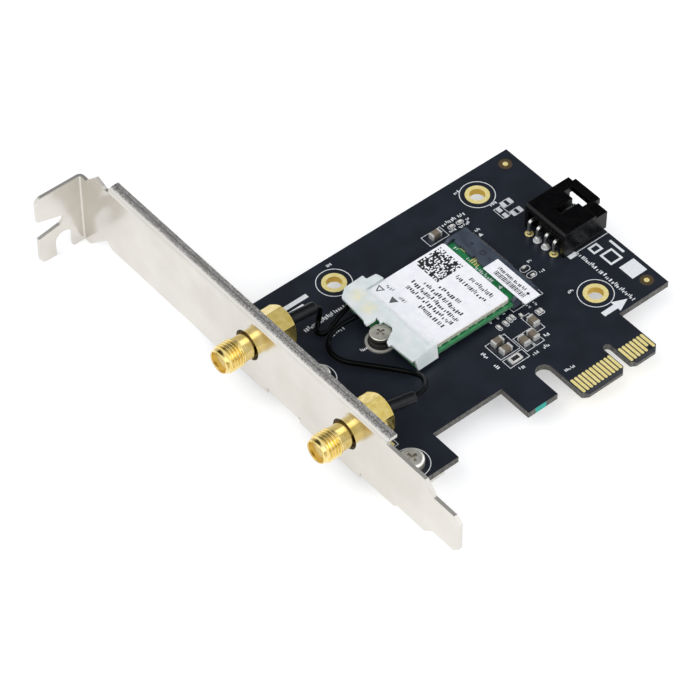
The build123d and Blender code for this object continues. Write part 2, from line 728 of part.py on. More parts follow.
def centre_pin(y):
    tip_plane = Plane(origin=(JACK_END_X + JACK_PIN_RECESS, y, JACK_Z), x_dir=(0, 1, 0), z_dir=(1, 0, 0))
    with BuildPart() as pin:
        with BuildSketch(tip_plane):
            Circle(JACK_PIN_R)
        extrude(amount=JACK_BORE_L + JACK_PIN_REAR - JACK_PIN_RECESS)
        tip = pin.edges().filter_by(GeomType.CIRCLE).group_by(Axis.X)[0]
        fillet(tip, JACK_PIN_R * 0.6)
    return pin


jack_pin_upper = centre_pin(JACK_Y[0])
jack_pin_upper.part.label = "jack_pin_upper"
export_step(jack_pin_upper.part, "parts/jack_pin_upper.step")

jack_pin_lower = centre_pin(JACK_Y[1])
jack_pin_lower.part.label = "jack_pin_lower"
export_step(jack_pin_lower.part, "parts/jack_pin_lower.step")


def lead_start(y, first_point):
    # Where the lead leaves its crimp ferrule, on the line from the jack to the first bend
    rear = Vector(HEX_REAR_X, y, JACK_Z)
    return rear, (Vector(*first_point) - rear).normalized()


def ferrule_body(y, first_point):
    rear, way = lead_start(y, first_point)
    with BuildPart() as ferrule:
        with BuildSketch(Plane(origin=rear, z_dir=way)):
            Circle(FERRULE_R)
        extrude(amount=FERRULE_L)
        # Trim the slanted start flush with the hexagon's rear face
        with BuildSketch(Plane.YZ.offset(HEX_REAR_X - 1)):
            with Locations((y, JACK_Z)):
                Circle(3 * FERRULE_R)
        extrude(amount=1, mode=Mode.SUBTRACT)
    return ferrule


def sleeve_body(y, first_point):
    rear, way = lead_start(y, first_point)
    with BuildPart() as sleeve:
        with BuildSketch(Plane(origin=rear, z_dir=way)):
            Circle(SLEEVE_R)
        extrude(amount=SLEEVE_L)
        shrunk_end = sleeve.edges().filter_by(GeomType.CIRCLE).group_by(Axis.X)[-1]
        fillet(shrunk_end, SLEEVE_EDGE_R)
        with BuildSketch(Plane(origin=rear, z_dir=way)):
            Circle(FERRULE_R + SLEEVE_FIT)
        extrude(amount=FERRULE_L + SLEEVE_FIT, mode=Mode.SUBTRACT)
        with BuildSketch(Plane(origin=rear, z_dir=way)):
            Circle(LEAD_D / 2 + SLEEVE_FIT)
        extrude(amount=SLEEVE_L, mode=Mode.SUBTRACT)
        with BuildSketch(Plane.YZ.offset(HEX_REAR_X - 1)):
            with Locations((y, JACK_Z)):
                Circle(3 * SLEEVE_R)
        extrude(amount=1, mode=Mode.SUBTRACT)
    return sleeve


lead_ferrule_upper = ferrule_body(JACK_Y[0], UPPER_ROUTE[0])
lead_ferrule_upper.part.label = "lead_ferrule_upper"
export_step(lead_ferrule_upper.part, "parts/lead_ferrule_upper.step")

lead_ferrule_lower = ferrule_body(JACK_Y[1], LOWER_ROUTE[0])
lead_ferrule_lower.part.label = "lead_ferrule_lower"
export_step(lead_ferrule_lower.part, "parts/lead_ferrule_lower.step")

lead_sleeve_upper = sleeve_body(JACK_Y[0], UPPER_ROUTE[0])
lead_sleeve_upper.part.label = "lead_sleeve_upper"
export_step(lead_sleeve_upper.part, "parts/lead_sleeve_upper.step")

lead_sleeve_lower = sleeve_body(JACK_Y[1], LOWER_ROUTE[0])
lead_sleeve_lower.part.label = "lead_sleeve_lower"
export_step(lead_sleeve_lower.part, "parts/lead_sleeve_lower.step")


def plug_way(receptacle, last_point):
    away = Vector(last_point[0] - receptacle[0], last_point[1] - receptacle[1], 0)
    return away.normalized()


def lead_body(name, y, route, receptacle):
    rear, way = lead_start(y, route[0])
    start = rear + way * FERRULE_L
    away = plug_way(receptacle, route[-1])
    lead_z = MODULE_TOP + PLUG_LEAD_Z
    end = Vector(receptacle[0], receptacle[1], lead_z) + away * PLUG_TAIL_L
    points = [start] + [Vector(*p) for p in route[:-1]] + [Vector(*route[-1], lead_z), end]
    runs = [b - a for a, b in zip(points, points[1:])]
    radii = []
    for i, (a, b) in enumerate(zip(runs, runs[1:])):
        turn = a.get_angle(b) * pi / 180
        reach = 0.45 * min(a.length, b.length)
        if i == 0:
            # The first bend starts only after the sleeve's end
            reach = min(reach, FERRULE_L + a.length - SLEEVE_L - SLEEVE_FIT)
        radii.append(reach / tan(turn / 2))
    with BuildPart() as lead:
        with BuildLine() as path:
            FilletPolyline(*points, radius=radii)
        with BuildSketch(Plane(origin=path.line @ 0, z_dir=path.line % 0)):
            Circle(LEAD_D / 2)
        sweep()
    section = pi * LEAD_D**2 / 4
    length = sum(e.length for e in path.edges())
    print(name, "radii", [round(r, 2) for r in radii])
    print(name, "runs", [round(r.length, 2) for r in runs])
    print(name, "turns", [round(a.get_angle(b), 1) for a, b in zip(runs, runs[1:])])
    print(name, "length", round(length, 3), "volume", round(lead.part.volume, 3))
    print(name, "section times length", round(section * length, 3))
    return lead


# Thin coaxial leads, whole, along the route they take over the board
antenna_lead_upper = lead_body("upper", JACK_Y[0], UPPER_ROUTE, RECEPTACLES[1])
antenna_lead_upper.part.label = "antenna_lead_upper"
export_step(antenna_lead_upper.part, "parts/antenna_lead_upper.step")

antenna_lead_lower = lead_body("lower", JACK_Y[1], LOWER_ROUTE, RECEPTACLES[0])
antenna_lead_lower.part.label = "antenna_lead_lower"
export_step(antenna_lead_lower.part, "parts/antenna_lead_lower.step")

# Push-on receptacles at the module's free end
with BuildPart() as module_receptacles:
    with BuildSketch(Plane.XY.offset(MODULE_TOP)):
        with Locations(*RECEPTACLES):
            Rectangle(RECEPTACLE_W, RECEPTACLE_W)
    extrude(amount=RECEPTACLE_BASE_T)
    with BuildSketch(Plane.XY.offset(MODULE_TOP + RECEPTACLE_BASE_T)):
        with Locations(*RECEPTACLES):
            Circle(RECEPTACLE_R)
            Circle(RECEPTACLE_BORE_R, mode=Mode.SUBTRACT)
    extrude(amount=RECEPTACLE_H - RECEPTACLE_BASE_T)
    with BuildSketch(Plane.XY.offset(MODULE_TOP + RECEPTACLE_BASE_T)):
        with Locations(*RECEPTACLES):
            Circle(RECEPTACLE_PIN_R)
    extrude(amount=RECEPTACLE_H - RECEPTACLE_BASE_T - RECEPTACLE_PIN_DROP)
module_receptacles.part.label = "module_receptacles"
export_step(module_receptacles.part, "parts/module_receptacles.step")


def plug_body(receptacle, last_point):
    away = plug_way(receptacle, last_point)
    foot = MODULE_TOP + RECEPTACLE_BASE_T + PLUG_GAP
    centre = Vector(receptacle[0], receptacle[1], MODULE_TOP + PLUG_LEAD_Z)
    with BuildPart() as plug:
        with BuildSketch(Plane.XY.offset(foot)):
            with Locations(receptacle):
                Circle(PLUG_R)
        extrude(amount=MODULE_TOP + PLUG_TOP - foot)
        with BuildSketch(Plane(origin=centre + away * PLUG_TAIL_IN, z_dir=away)):
            Circle(PLUG_TAIL_R)
        extrude(amount=PLUG_TAIL_L - PLUG_TAIL_IN)
        with BuildSketch(Plane.XY.offset(foot)):
            with Locations(receptacle):
                Circle(RECEPTACLE_R + PLUG_GAP)
        extrude(amount=MODULE_TOP + PLUG_TOP - PLUG_ROOF_T - foot, mode=Mode.SUBTRACT)
    return plug


lead_plug_upper = plug_body(RECEPTACLES[1], UPPER_ROUTE[-1])
lead_plug_upper.part.label = "lead_plug_upper"
export_step(lead_plug_upper.part, "parts/lead_plug_upper.step")

lead_plug_lower = plug_body(RECEPTACLES[0], LOWER_ROUTE[-1])
lead_plug_lower.part.label = "lead_plug_lower"
export_step(lead_plug_lower.part, "parts/lead_plug_lower.step")

# Radio module board with its narrower contact tongue and half-round screw notch
with BuildPart() as module_board:
    with BuildSketch(Plane.XY.offset(MODULE_Z)):
        with Locations((MODULE_LEFT, MODULE_Y)):
            Rectangle(MODULE_L - MODULE_TONGUE_L, MODULE_W, align=(Align.MIN, Align.CENTER))
            Rectangle(MODULE_L, MODULE_TONGUE_W, align=(Align.MIN, Align.CENTER))
            Circle(MODULE_NOTCH_R, mode=Mode.SUBTRACT)
    extrude(amount=MODULE_T)
module_board.part.label = "module_board"
export_step(module_board.part, "parts/module_board.step")

# Gold contact fingers on the module's tongue, a gap of four places for the key
with BuildPart() as module_contacts:
    places = [i for i in range(SOCKET_PLACES) if i not in SOCKET_KEY_PLACES]
    place_ys = [MODULE_Y + (i - (SOCKET_PLACES - 1) / 2) * SOCKET_PITCH for i in places]
    with BuildSketch(Plane.XY.offset(MODULE_TOP)):
        with Locations(*[(MODULE_RIGHT - MODULE_CONTACT_BACK, y) for y in place_ys]):
            Rectangle(MODULE_CONTACT_L, MODULE_CONTACT_W, align=(Align.MAX, Align.CENTER))
    extrude(amount=MODULE_CONTACT_T)
module_contacts.part.label = "module_contacts"
export_step(module_contacts.part, "parts/module_contacts.step")

# Drawn shielding can over the module's circuits
with BuildPart() as shield_can:
    with BuildSketch(Plane.XY.offset(MODULE_TOP)):
        with Locations(SHIELD_MID):
            RectangleRounded(*SHIELD_SIZE, SHIELD_CORNER_R)
    extrude(amount=SHIELD_H)
    fillet(shield_can.edges().group_by(Axis.Z)[-1], SHIELD_EDGE_R)
    with BuildSketch(Plane.XY.offset(MODULE_TOP)):
        with Locations(SHIELD_MID):
            Rectangle(SHIELD_SIZE[0] - 2 * SHIELD_T, SHIELD_SIZE[1] - 2 * SHIELD_T)
    extrude(amount=SHIELD_H - SHIELD_T, mode=Mode.SUBTRACT)
shield_can.part.label = "shield_can"
export_step(shield_can.part, "parts/shield_can.step")


def covered_chip(size, height, offsets):
    # Packages soldered to the module under its can, placed from the can's centre
    with BuildPart() as chips:
        with BuildSketch(Plane.XY.offset(MODULE_TOP)):
            with Locations(*[(SHIELD_MID[0] + x, SHIELD_MID[1] + y) for x, y in offsets]):
                Rectangle(*size)
        extrude(amount=height)
    return chips


# Circuits under the can: radio chip, two amplifiers and the clock crystal
radio_chip = covered_chip(RADIO_CHIP_SIZE, RADIO_CHIP_H, [RADIO_CHIP_OFF])
radio_chip.part.label = "radio_chip"
export_step(radio_chip.part, "parts/radio_chip.step")

amplifier_chips = covered_chip(AMPLIFIER_SIZE, AMPLIFIER_H, AMPLIFIERS_OFF)
amplifier_chips.part.label = "amplifier_chips"
export_step(amplifier_chips.part, "parts/amplifier_chips.step")

clock_crystal = covered_chip(CRYSTAL_SIZE, CRYSTAL_H, [CRYSTAL_OFF])
clock_crystal.part.label = "clock_crystal"
export_step(clock_crystal.part, "parts/clock_crystal.step")

# Paper label on the can
with BuildPart() as module_label:
    with BuildSketch(Plane.XY.offset(SHIELD_TOP)):
        with Locations(SHIELD_MID):
            Rectangle(SHIELD_SIZE[0] - 2 * LABEL_INSET, SHIELD_SIZE[1] - 2 * LABEL_INSET)
    extrude(amount=LABEL_T)
module_label.part.label = "module_label"
export_step(module_label.part, "parts/module_label.step")

# Module socket housing: a slot for the tongue with a slit for every spring contact
spring_ys = place_ys
rear_riser_x = SOCKET_X[1] - SPRING_T - SPRING_INSET
slot_end_x = MODULE_RIGHT + SLOT_END_GAP
with BuildPart() as socket_housing:
    with BuildSketch(Plane.XY.offset(SOCKET_FOOT)):
        with Locations((SOCKET_X[0], MODULE_Y)):
            Rectangle(SOCKET_X[1] - SOCKET_X[0], SOCKET_W, align=(Align.MIN, Align.CENTER))
    extrude(amount=SOCKET_TOP - SOCKET_FOOT)
    fillet(socket_housing.edges().filter_by(Axis.Y).group_by(Axis.Z)[-1], SOCKET_EDGE_R)
    # Upper jaw set back from the lower one
    with BuildSketch(Plane.XY.offset(SLOT_LOW)):
        with Locations((SOCKET_X[0], MODULE_Y)):
            Rectangle(JAW_SETBACK, SOCKET_W, align=(Align.MIN, Align.CENTER))
    extrude(amount=SOCKET_TOP, mode=Mode.SUBTRACT)
    # Card slot
    with BuildSketch(Plane.XY.offset(SLOT_LOW)):
        with Locations((slot_end_x, MODULE_Y)):
            Rectangle(
                slot_end_x - SOCKET_X[0],
                MODULE_TONGUE_W + 2 * SLOT_SIDE_GAP,
                align=(Align.MAX, Align.CENTER),
            )
    extrude(amount=SLOT_HIGH - SLOT_LOW, mode=Mode.SUBTRACT)
    # Slits for the upper springs, open at the rear
    with BuildSketch(Plane.XY.offset(SOCKET_FOOT)):
        with Locations(*[(SOCKET_X[1], y) for y in spring_ys]):
            Rectangle(
                SOCKET_X[1] - rear_riser_x + SPRING_GAP,
                SPRING_W + 2 * SPRING_GAP,
                align=(Align.MAX, Align.CENTER),
            )
    extrude(amount=SLOT_HIGH + SLIT_H - SOCKET_FOOT, mode=Mode.SUBTRACT)
    with BuildSketch(Plane.XY.offset(SLOT_HIGH)):
        with Locations(*[(SOCKET_X[1], y) for y in spring_ys]):
            Rectangle(
                SOCKET_X[1] - SOCKET_X[0] - SLIT_SETBACK,
                SPRING_W + 2 * SPRING_GAP,
                align=(Align.MAX, Align.CENTER),
            )
    extrude(amount=SLIT_H, mode=Mode.SUBTRACT)
socket_housing.part.label = "socket_housing"
export_step(socket_housing.part, "parts/socket_housing.step")

# Upper springs: a soldered tail behind the housing, a riser and a beam over the tongue
with BuildPart() as socket_springs:
    beam_z = SLOT_HIGH + SPRING_BEAM_RISE
    tip_z = MODULE_TOP + MODULE_CONTACT_T + SPRING_T / 2
    for y in spring_ys:
        with BuildSketch(Plane.XZ.offset(-(y - SPRING_W / 2))):
            with BuildLine():
                Polyline(
                    (SOCKET_X[1] + TAIL_OUT, SPRING_T / 2),
                    (rear_riser_x + SPRING_T / 2, SPRING_T / 2),
                    (rear_riser_x + SPRING_T / 2, beam_z),
                    (MODULE_RIGHT - SPRING_BEAM_BACK, beam_z),
                    (MODULE_RIGHT - SPRING_TIP_BACK, tip_z),
                )
            trace(line_width=SPRING_T)
        extrude(amount=-SPRING_W)
socket_springs.part.label = "socket_springs"
export_step(socket_springs.part, "parts/socket_springs.step")

# Solder plates at both ends of the socket, each with a foot under the housing
with BuildPart() as socket_hold_downs:
    hold_x = (SOCKET_X[0] + SOCKET_X[1]) / 2
    socket_ends = [MODULE_Y + SOCKET_W / 2, MODULE_Y - SOCKET_W / 2]
    with BuildSketch(Plane.XY):
        with Locations(*[(hold_x, y) for y in socket_ends]):
            Rectangle(HOLD_DOWN_L, 2 * HOLD_DOWN_T)
    extrude(amount=SOCKET_FOOT)
    with BuildSketch(Plane.XY):
        with Locations(
            (hold_x, socket_ends[0] + HOLD_DOWN_T / 2),
            (hold_x, socket_ends[1] - HOLD_DOWN_T / 2),
        ):
            Rectangle(HOLD_DOWN_L, HOLD_DOWN_T)
    extrude(amount=HOLD_DOWN_H)
socket_hold_downs.part.label = "socket_hold_downs"
export_step(socket_hold_downs.part, "parts/socket_hold_downs.step")

# Paper label over the socket, its free end folded down
with BuildPart() as socket_label:
    label_z = SOCKET_TOP + LABEL_T / 2
    label_x = SOCKET_X[0] + SOCKET_LABEL_IN
    fold_y = MODULE_Y - SOCKET_W / 2 - HOLD_DOWN_T - SOCKET_LABEL_FOLD_OUT
    with BuildSketch(Plane.YZ.offset(label_x)):
        with BuildLine():
            Polyline(
                (MODULE_Y + SOCKET_LABEL_START, label_z),
                (fold_y, label_z),
                (fold_y - SOCKET_LABEL_FALL[0], label_z - SOCKET_LABEL_FALL[1]),
            )
        trace(line_width=LABEL_T)
    extrude(amount=SOCKET_LABEL_W)
socket_label.part.label = "socket_label"
export_step(socket_label.part, "parts/socket_label.step")

# Standoff pressed through the board, with a pilot that fills the module's notch
with BuildPart() as standoff:
    with BuildSketch(Plane.XY.offset(-BOARD_T)):
        with Locations(STANDOFF_AT):
            Circle(STANDOFF_R)
    extrude(amount=BOARD_T + MODULE_Z)
    with BuildSketch(Plane.XY):
        with Locations(STANDOFF_AT):
            Circle(STANDOFF_FLANGE_R)
    extrude(amount=STANDOFF_FLANGE_H)
    with BuildSketch(Plane.XY.offset(MODULE_Z)):
        with Locations(STANDOFF_AT):
            Circle(STANDOFF_PILOT_R)
    extrude(amount=STANDOFF_PILOT_H)
    with BuildSketch(Plane.XY.offset(MODULE_Z + STANDOFF_PILOT_H)):
        with Locations(STANDOFF_AT):
            Circle(MODULE_SCREW_R + MODULE_SCREW_GAP)
    extrude(amount=-(MODULE_Z + STANDOFF_PILOT_H + BOARD_T), mode=Mode.SUBTRACT)
standoff.part.label = "standoff"
export_step(standoff.part, "parts/standoff.step")

# Flat-head screw that holds the module down
with BuildPart() as module_screw:
    with BuildSketch(Plane.XY.offset(MODULE_TOP)):
        with Locations(STANDOFF_AT):
            Circle(MODULE_SCREW_HEAD_R)
    extrude(amount=MODULE_SCREW_HEAD_H)
    head_rim = module_screw.edges().filter_by(GeomType.CIRCLE).group_by(Axis.Z)[-1]
    fillet(head_rim, MODULE_SCREW_EDGE_R)
    with BuildSketch(Plane.XY.offset(MODULE_TOP)):
        with Locations(STANDOFF_AT):
            Circle(MODULE_SCREW_R)
    extrude(amount=-MODULE_SCREW_L)
    with BuildSketch(Plane.XY.offset(MODULE_TOP + MODULE_SCREW_HEAD_H)):
        with Locations(STANDOFF_AT):
            Rectangle(MODULE_CROSS[0], MODULE_CROSS[1])
            Rectangle(MODULE_CROSS[1], MODULE_CROSS[0])
    extrude(amount=-MODULE_CROSS_DEPTH, mode=Mode.SUBTRACT)
module_screw.part.label = "module_screw"
export_step(module_screw.part, "parts/module_screw.step")

# Translucent retaining clip: a plate over plugs and can, folded over both module edges
with BuildPart() as module_clip:
    with BuildSketch(Plane.XY.offset(CLIP_Z)):
        with BuildLine():
            Polyline(
                (CLIP_LEFT, CLIP_FRONT_Y),
                (CLIP_FRONT_FLAP_X[1] + CLIP_FRONT_EXTRA, CLIP_FRONT_Y),
                (CLIP_STEP_X, CLIP_FRONT_Y + CLIP_FRONT_SLOPE),
                (CLIP_STEP_X, CLIP_STEP_Y),
                (CLIP_RIGHT, CLIP_STEP_Y + CLIP_STEP_RISE),
                (CLIP_RIGHT, CLIP_LOBE_Y - CLIP_LOBE_CUT[1]),
                (CLIP_RIGHT - CLIP_LOBE_CUT[0], CLIP_LOBE_Y),
                (CLIP_BACK_FLAP_X[1], CLIP_LOBE_Y),
                (CLIP_BACK_FLAP_X[1], CLIP_BACK_Y),
                (CLIP_BACK_FLAP_X[0], CLIP_BACK_Y),
                *[(CLIP_LEFT + along, CLIP_BACK_Y - down) for along, down in CLIP_BACK_CUT],
                close=True,
            )
        make_face()
        # Room for the screw head, open towards the free end
        with Locations(STANDOFF_AT):
            Circle(CLIP_SCREW_R, mode=Mode.SUBTRACT)
            Rectangle(2 * CLIP_SCREW_R, CLIP_MOUTH_W, align=(Align.MAX, Align.CENTER), mode=Mode.SUBTRACT)
    extrude(amount=CLIP_T)
    # A flap down each side of the module, ending in a hook under its edge
    hook_z = MODULE_Z - CLIP_GAP - CLIP_HOOK_T
    with BuildSketch(Plane.YZ.offset(CLIP_FRONT_FLAP_X[0])):
        with BuildLine():
            Polyline(
                (CLIP_FRONT_Y, CLIP_Z),
                (CLIP_FRONT_Y, hook_z),
                (MODULE_FRONT + CLIP_HOOK, hook_z),
                (MODULE_FRONT + CLIP_HOOK, hook_z + CLIP_HOOK_T),
                (MODULE_FRONT - CLIP_GAP, hook_z + CLIP_HOOK_T),
                (MODULE_FRONT - CLIP_GAP, CLIP_Z),
                close=True,
            )
        make_face()
    extrude(amount=CLIP_FRONT_FLAP_X[1] - CLIP_FRONT_FLAP_X[0])
    back_in = CLIP_BACK_Y - CLIP_T
    with BuildSketch(Plane.YZ.offset(CLIP_BACK_FLAP_X[0])):
        with BuildLine():
            Polyline(
                (CLIP_BACK_Y, CLIP_Z),
                (CLIP_BACK_Y, hook_z),
                (MODULE_BACK - CLIP_HOOK, hook_z),
                (MODULE_BACK - CLIP_HOOK, hook_z + CLIP_HOOK_T),
                (back_in, hook_z + CLIP_HOOK_T),
                (back_in, CLIP_Z),
                close=True,
            )
        make_face()
    extrude(amount=CLIP_BACK_FLAP_X[1] - CLIP_BACK_FLAP_X[0])
    top_edges = module_clip.edges().filter_by(Axis.X).group_by(Axis.Z)[-1]
    fillet(top_edges.group_by(Axis.Y)[0] + top_edges.group_by(Axis.Y)[-1], CLIP_EDGE_R)
module_clip.part.label = "module_clip"
export_step(module_clip.part, "parts/module_clip.step")

# Latching header housing
header_low_y = HEADER_Y - HEADER_W / 2
header_high_y = HEADER_Y + HEADER_W / 2
with BuildPart() as header_housing:
    with BuildSketch(Plane.XY):
        with Locations((HEADER_X[0], HEADER_Y)):
            Rectangle(HEADER_X[1] - HEADER_X[0], HEADER_W, align=(Align.MIN, Align.CENTER))
    extrude(amount=HEADER_H)
    rear_edge = header_housing.edges().filter_by(Axis.Y).group_by(Axis.Z)[-1].sort_by(Axis.X)[0]
    chamfer(rear_edge, HEADER_CHAMFER)
    # Hood bridging the latch window, standing out over the mouth
    with BuildSketch(Plane.XY.offset(CAVITY_ROOF_Z)):
        with Locations((HEADER_X[1], HOOD_Y[0])):
            Rectangle(HOOD_OUT, HOOD_Y[1] - HOOD_Y[0], align=(Align.MIN, Align.MIN))
    extrude(amount=HEADER_H - CAVITY_ROOF_Z)
    # Pocket behind the pins, open at the rear and under its roof
    with BuildSketch(Plane.XY):
        with Locations((HEADER_X[0], HEADER_Y)):
            Rectangle(POCKET_L, HEADER_W - 2 * POCKET_CHEEK, align=(Align.MIN, Align.CENTER))
    extrude(amount=POCKET_ROOF_Z, mode=Mode.SUBTRACT)
    # Mating cavity, open at the mouth
    with BuildSketch(Plane.XY.offset(CAVITY_LOW_Z)):
        with Locations((HEADER_X[0] + POCKET_L + BACK_WALL_T, HEADER_Y)):
            Rectangle(
                HEADER_X[1] - HEADER_X[0],
                HEADER_W - 2 * CAVITY_SIDE_T,
                align=(Align.MIN, Align.CENTER),
            )
    extrude(amount=CAVITY_ROOF_Z - CAVITY_LOW_Z, mode=Mode.SUBTRACT)
    # The floor stops short of the mouth
    with BuildSketch(Plane.XY):
        with Locations((HEADER_X[1], HEADER_Y)):
            Rectangle(FLOOR_SETBACK, HEADER_W, align=(Align.MAX, Align.CENTER))
    extrude(amount=CAVITY_LOW_Z, mode=Mode.SUBTRACT)
    # Latch slit and window through the roof
    with BuildSketch(Plane.XY.offset(CAVITY_ROOF_Z)):
        with Locations((SLIT_X[0], HEADER_Y)):
            Rectangle(SLIT_X[1] - SLIT_X[0], SLIT_W, align=(Align.MIN, Align.CENTER))
        with Locations((WINDOW_X[0], WINDOW_Y[0])):
            Rectangle(WINDOW_X[1] - WINDOW_X[0], WINDOW_Y[1] - WINDOW_Y[0], align=(Align.MIN, Align.MIN))
    extrude(amount=HEADER_H - CAVITY_ROOF_Z, mode=Mode.SUBTRACT)
    # Polarising step at the front corner
    with BuildSketch(Plane.XY.offset(HEADER_H - SHELF_DROP)):
        with Locations((HEADER_X[1] - SHELF_L, header_low_y)):
            Rectangle(SHELF_L, HOOD_Y[0] - header_low_y, align=(Align.MIN, Align.MIN))
    extrude(amount=SHELF_DROP, mode=Mode.SUBTRACT)
    # Square holes for the pins through the back wall
    with BuildSketch(Plane.YZ.offset(HEADER_X[0] + POCKET_L)):
        with Locations(*[(y, PIN_HIGH_Z) for y in PIN_YS]):
            Rectangle(PIN_SIDE + 2 * PIN_FIT, PIN_SIDE + 2 * PIN_FIT)
    extrude(amount=BACK_WALL_T, mode=Mode.SUBTRACT)
header_housing.part.label = "header_housing"
export_step(header_housing.part, "parts/header_housing.step")

# Bent square pins of the header
with BuildPart() as header_pins:
    for y in PIN_YS:
        with BuildSketch(Plane.XZ.offset(-(y - PIN_SIDE / 2))):
            with BuildLine():
                FilletPolyline(
                    (PIN_X, -BOARD_T - PIN_BELOW),
                    (PIN_X, PIN_HIGH_Z),
                    (HEADER_X[0] + POCKET_L + BACK_WALL_T + PIN_REACH, PIN_HIGH_Z),
                    radius=PIN_BEND_R,
                )
            trace(line_width=PIN_SIDE)
        extrude(amount=-PIN_SIDE)
header_pins.part.label = "header_pins"
export_step(header_pins.part, "parts/header_pins.step")

# Solder: a cone under the board on every pin, a dome on top of the middle two
with BuildPart() as header_solder:
    with BuildSketch(Plane.XY.offset(-BOARD_T - PLATING_T)):
        with Locations(*[(PIN_X, y) for y in PIN_YS]):
            Circle(SOLDER_R)
    extrude(amount=-SOLDER_H, taper=SOLDER_TAPER)
    with BuildSketch(Plane.XY.offset(PLATING_T)):
        with Locations(*[(PIN_X, y) for y in PIN_YS[1:-1]]):
            Circle(SOLDER_R)
    extrude(amount=SOLDER_H, taper=SOLDER_TAPER)
    with BuildSketch(Plane.XY.offset(-BOARD_T - PLATING_T - SOLDER_H)):
        with Locations(*[(PIN_X, y) for y in PIN_YS]):
            Rectangle(PIN_SIDE, PIN_SIDE)
    extrude(amount=BOARD_T + 2 * PLATING_T + 2 * SOLDER_H, mode=Mode.SUBTRACT)
header_solder.part.label = "header_solder"
export_step(header_solder.part, "parts/header_solder.step")


def chip_blocks(places, size, end, middle):
    # Either the middles or both metal ends of two-ended parts standing on the board
    with BuildPart() as blocks:
        with BuildSketch(Plane.XY):
            for x, y, along_x in places:
                long_side, short_side = size[0], size[1]
                with Locations(Location((x, y), 0 if along_x else 90)):
                    if middle:
                        Rectangle(long_side - 2 * end, short_side)
                    else:
                        with Locations((long_side / 2 - end / 2, 0), (end / 2 - long_side / 2, 0)):
                            Rectangle(end, short_side)
        extrude(amount=size[2])
    return blocks


# Ceramic capacitors
capacitor_bodies = chip_blocks(CAPACITORS, CAPACITOR_SIZE, CAPACITOR_END, True)
capacitor_bodies.part.label = "capacitor_bodies"
export_step(capacitor_bodies.part, "parts/capacitor_bodies.step")

capacitor_ends = chip_blocks(CAPACITORS, CAPACITOR_SIZE, CAPACITOR_END, False)
capacitor_ends.part.label = "capacitor_ends"
export_step(capacitor_ends.part, "parts/capacitor_ends.step")

# Chip resistor: white ceramic block, metal ends and a dark film on top
resistor_place = [(RESISTOR_AT[0], RESISTOR_AT[1], True)]
resistor_body = chip_blocks(resistor_place, RESISTOR_SIZE, RESISTOR_END, True)
resistor_body.part.label = "resistor_body"
export_step(resistor_body.part, "parts/resistor_body.step")

resistor_ends = chip_blocks(resistor_place, RESISTOR_SIZE, RESISTOR_END, False)
resistor_ends.part.label = "resistor_ends"
export_step(resistor_ends.part, "parts/resistor_ends.step")

with BuildPart() as resistor_film:
    with BuildSketch(Plane.XY.offset(RESISTOR_SIZE[2])):
        with Locations(RESISTOR_AT):
            Rectangle(*RESISTOR_FILM_SIZE)
    extrude(amount=RESISTOR_FILM_T)
resistor_film.part.label = "resistor_film"
export_step(resistor_film.part, "parts/resistor_film.step")

# Small two-ended chips
chip_bodies = chip_blocks(CHIPS, CHIP_SIZE, CHIP_END, True)
chip_bodies.part.label = "chip_bodies"
export_step(chip_bodies.part, "parts/chip_bodies.step")

chip_ends = chip_blocks(CHIPS, CHIP_SIZE, CHIP_END, False)
chip_ends.part.label = "chip_ends"
export_step(chip_ends.part, "parts/chip_ends.step")
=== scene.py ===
# %% [markdown]
# # A PCIe Wi-Fi card
# The card's exact solids come in as a frame, in metres, and this lesson dresses them.
# The frame keeps every size and place, so here the work is surface: how black solder
# mask, nickel, gold, milky plastic and paper meet the light, and the fine things that
# a solid model leaves out, such as threads, print and the soft line of the two leads.

from math import cos, pi, radians
from random import Random

import bmesh
import bpy
from mathutils import Euler, Matrix, Vector


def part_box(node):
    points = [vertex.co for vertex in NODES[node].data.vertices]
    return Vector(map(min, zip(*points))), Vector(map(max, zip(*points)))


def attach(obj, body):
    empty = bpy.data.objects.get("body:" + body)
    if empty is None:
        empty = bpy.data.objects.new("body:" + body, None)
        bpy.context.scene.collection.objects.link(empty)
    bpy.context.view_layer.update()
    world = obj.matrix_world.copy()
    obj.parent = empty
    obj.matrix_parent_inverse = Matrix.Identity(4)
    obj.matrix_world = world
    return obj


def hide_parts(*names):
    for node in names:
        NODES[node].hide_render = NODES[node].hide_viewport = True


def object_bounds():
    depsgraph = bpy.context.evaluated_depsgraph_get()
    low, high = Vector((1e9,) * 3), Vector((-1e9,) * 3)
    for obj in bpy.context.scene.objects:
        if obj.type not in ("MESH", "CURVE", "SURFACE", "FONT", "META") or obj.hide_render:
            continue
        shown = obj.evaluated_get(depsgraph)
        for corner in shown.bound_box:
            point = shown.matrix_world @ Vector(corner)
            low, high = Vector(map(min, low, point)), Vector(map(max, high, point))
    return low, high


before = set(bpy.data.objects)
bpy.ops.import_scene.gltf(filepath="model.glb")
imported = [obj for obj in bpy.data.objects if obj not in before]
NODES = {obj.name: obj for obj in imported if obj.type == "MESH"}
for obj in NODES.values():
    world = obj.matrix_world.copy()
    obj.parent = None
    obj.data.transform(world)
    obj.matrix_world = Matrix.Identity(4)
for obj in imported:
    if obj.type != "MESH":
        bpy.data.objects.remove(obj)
cad_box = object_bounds()
MM = 0.001
print("frame has", len(NODES), "nodes")

# %% [markdown]
# The camera stands far off with a long lens, as a product photographer's does, so the
# edges of the card stay nearly parallel. Its place and angles were solved from corners
# of the card that are easy to find in the photograph. Nothing is left to depth of field.

# %% Camera
CAMERA_PLACE = (-334.8, -313.7, 518.7)
CAMERA_ANGLES = (41.567, 0.087, -39.913)
CAMERA_LENS = 176.66


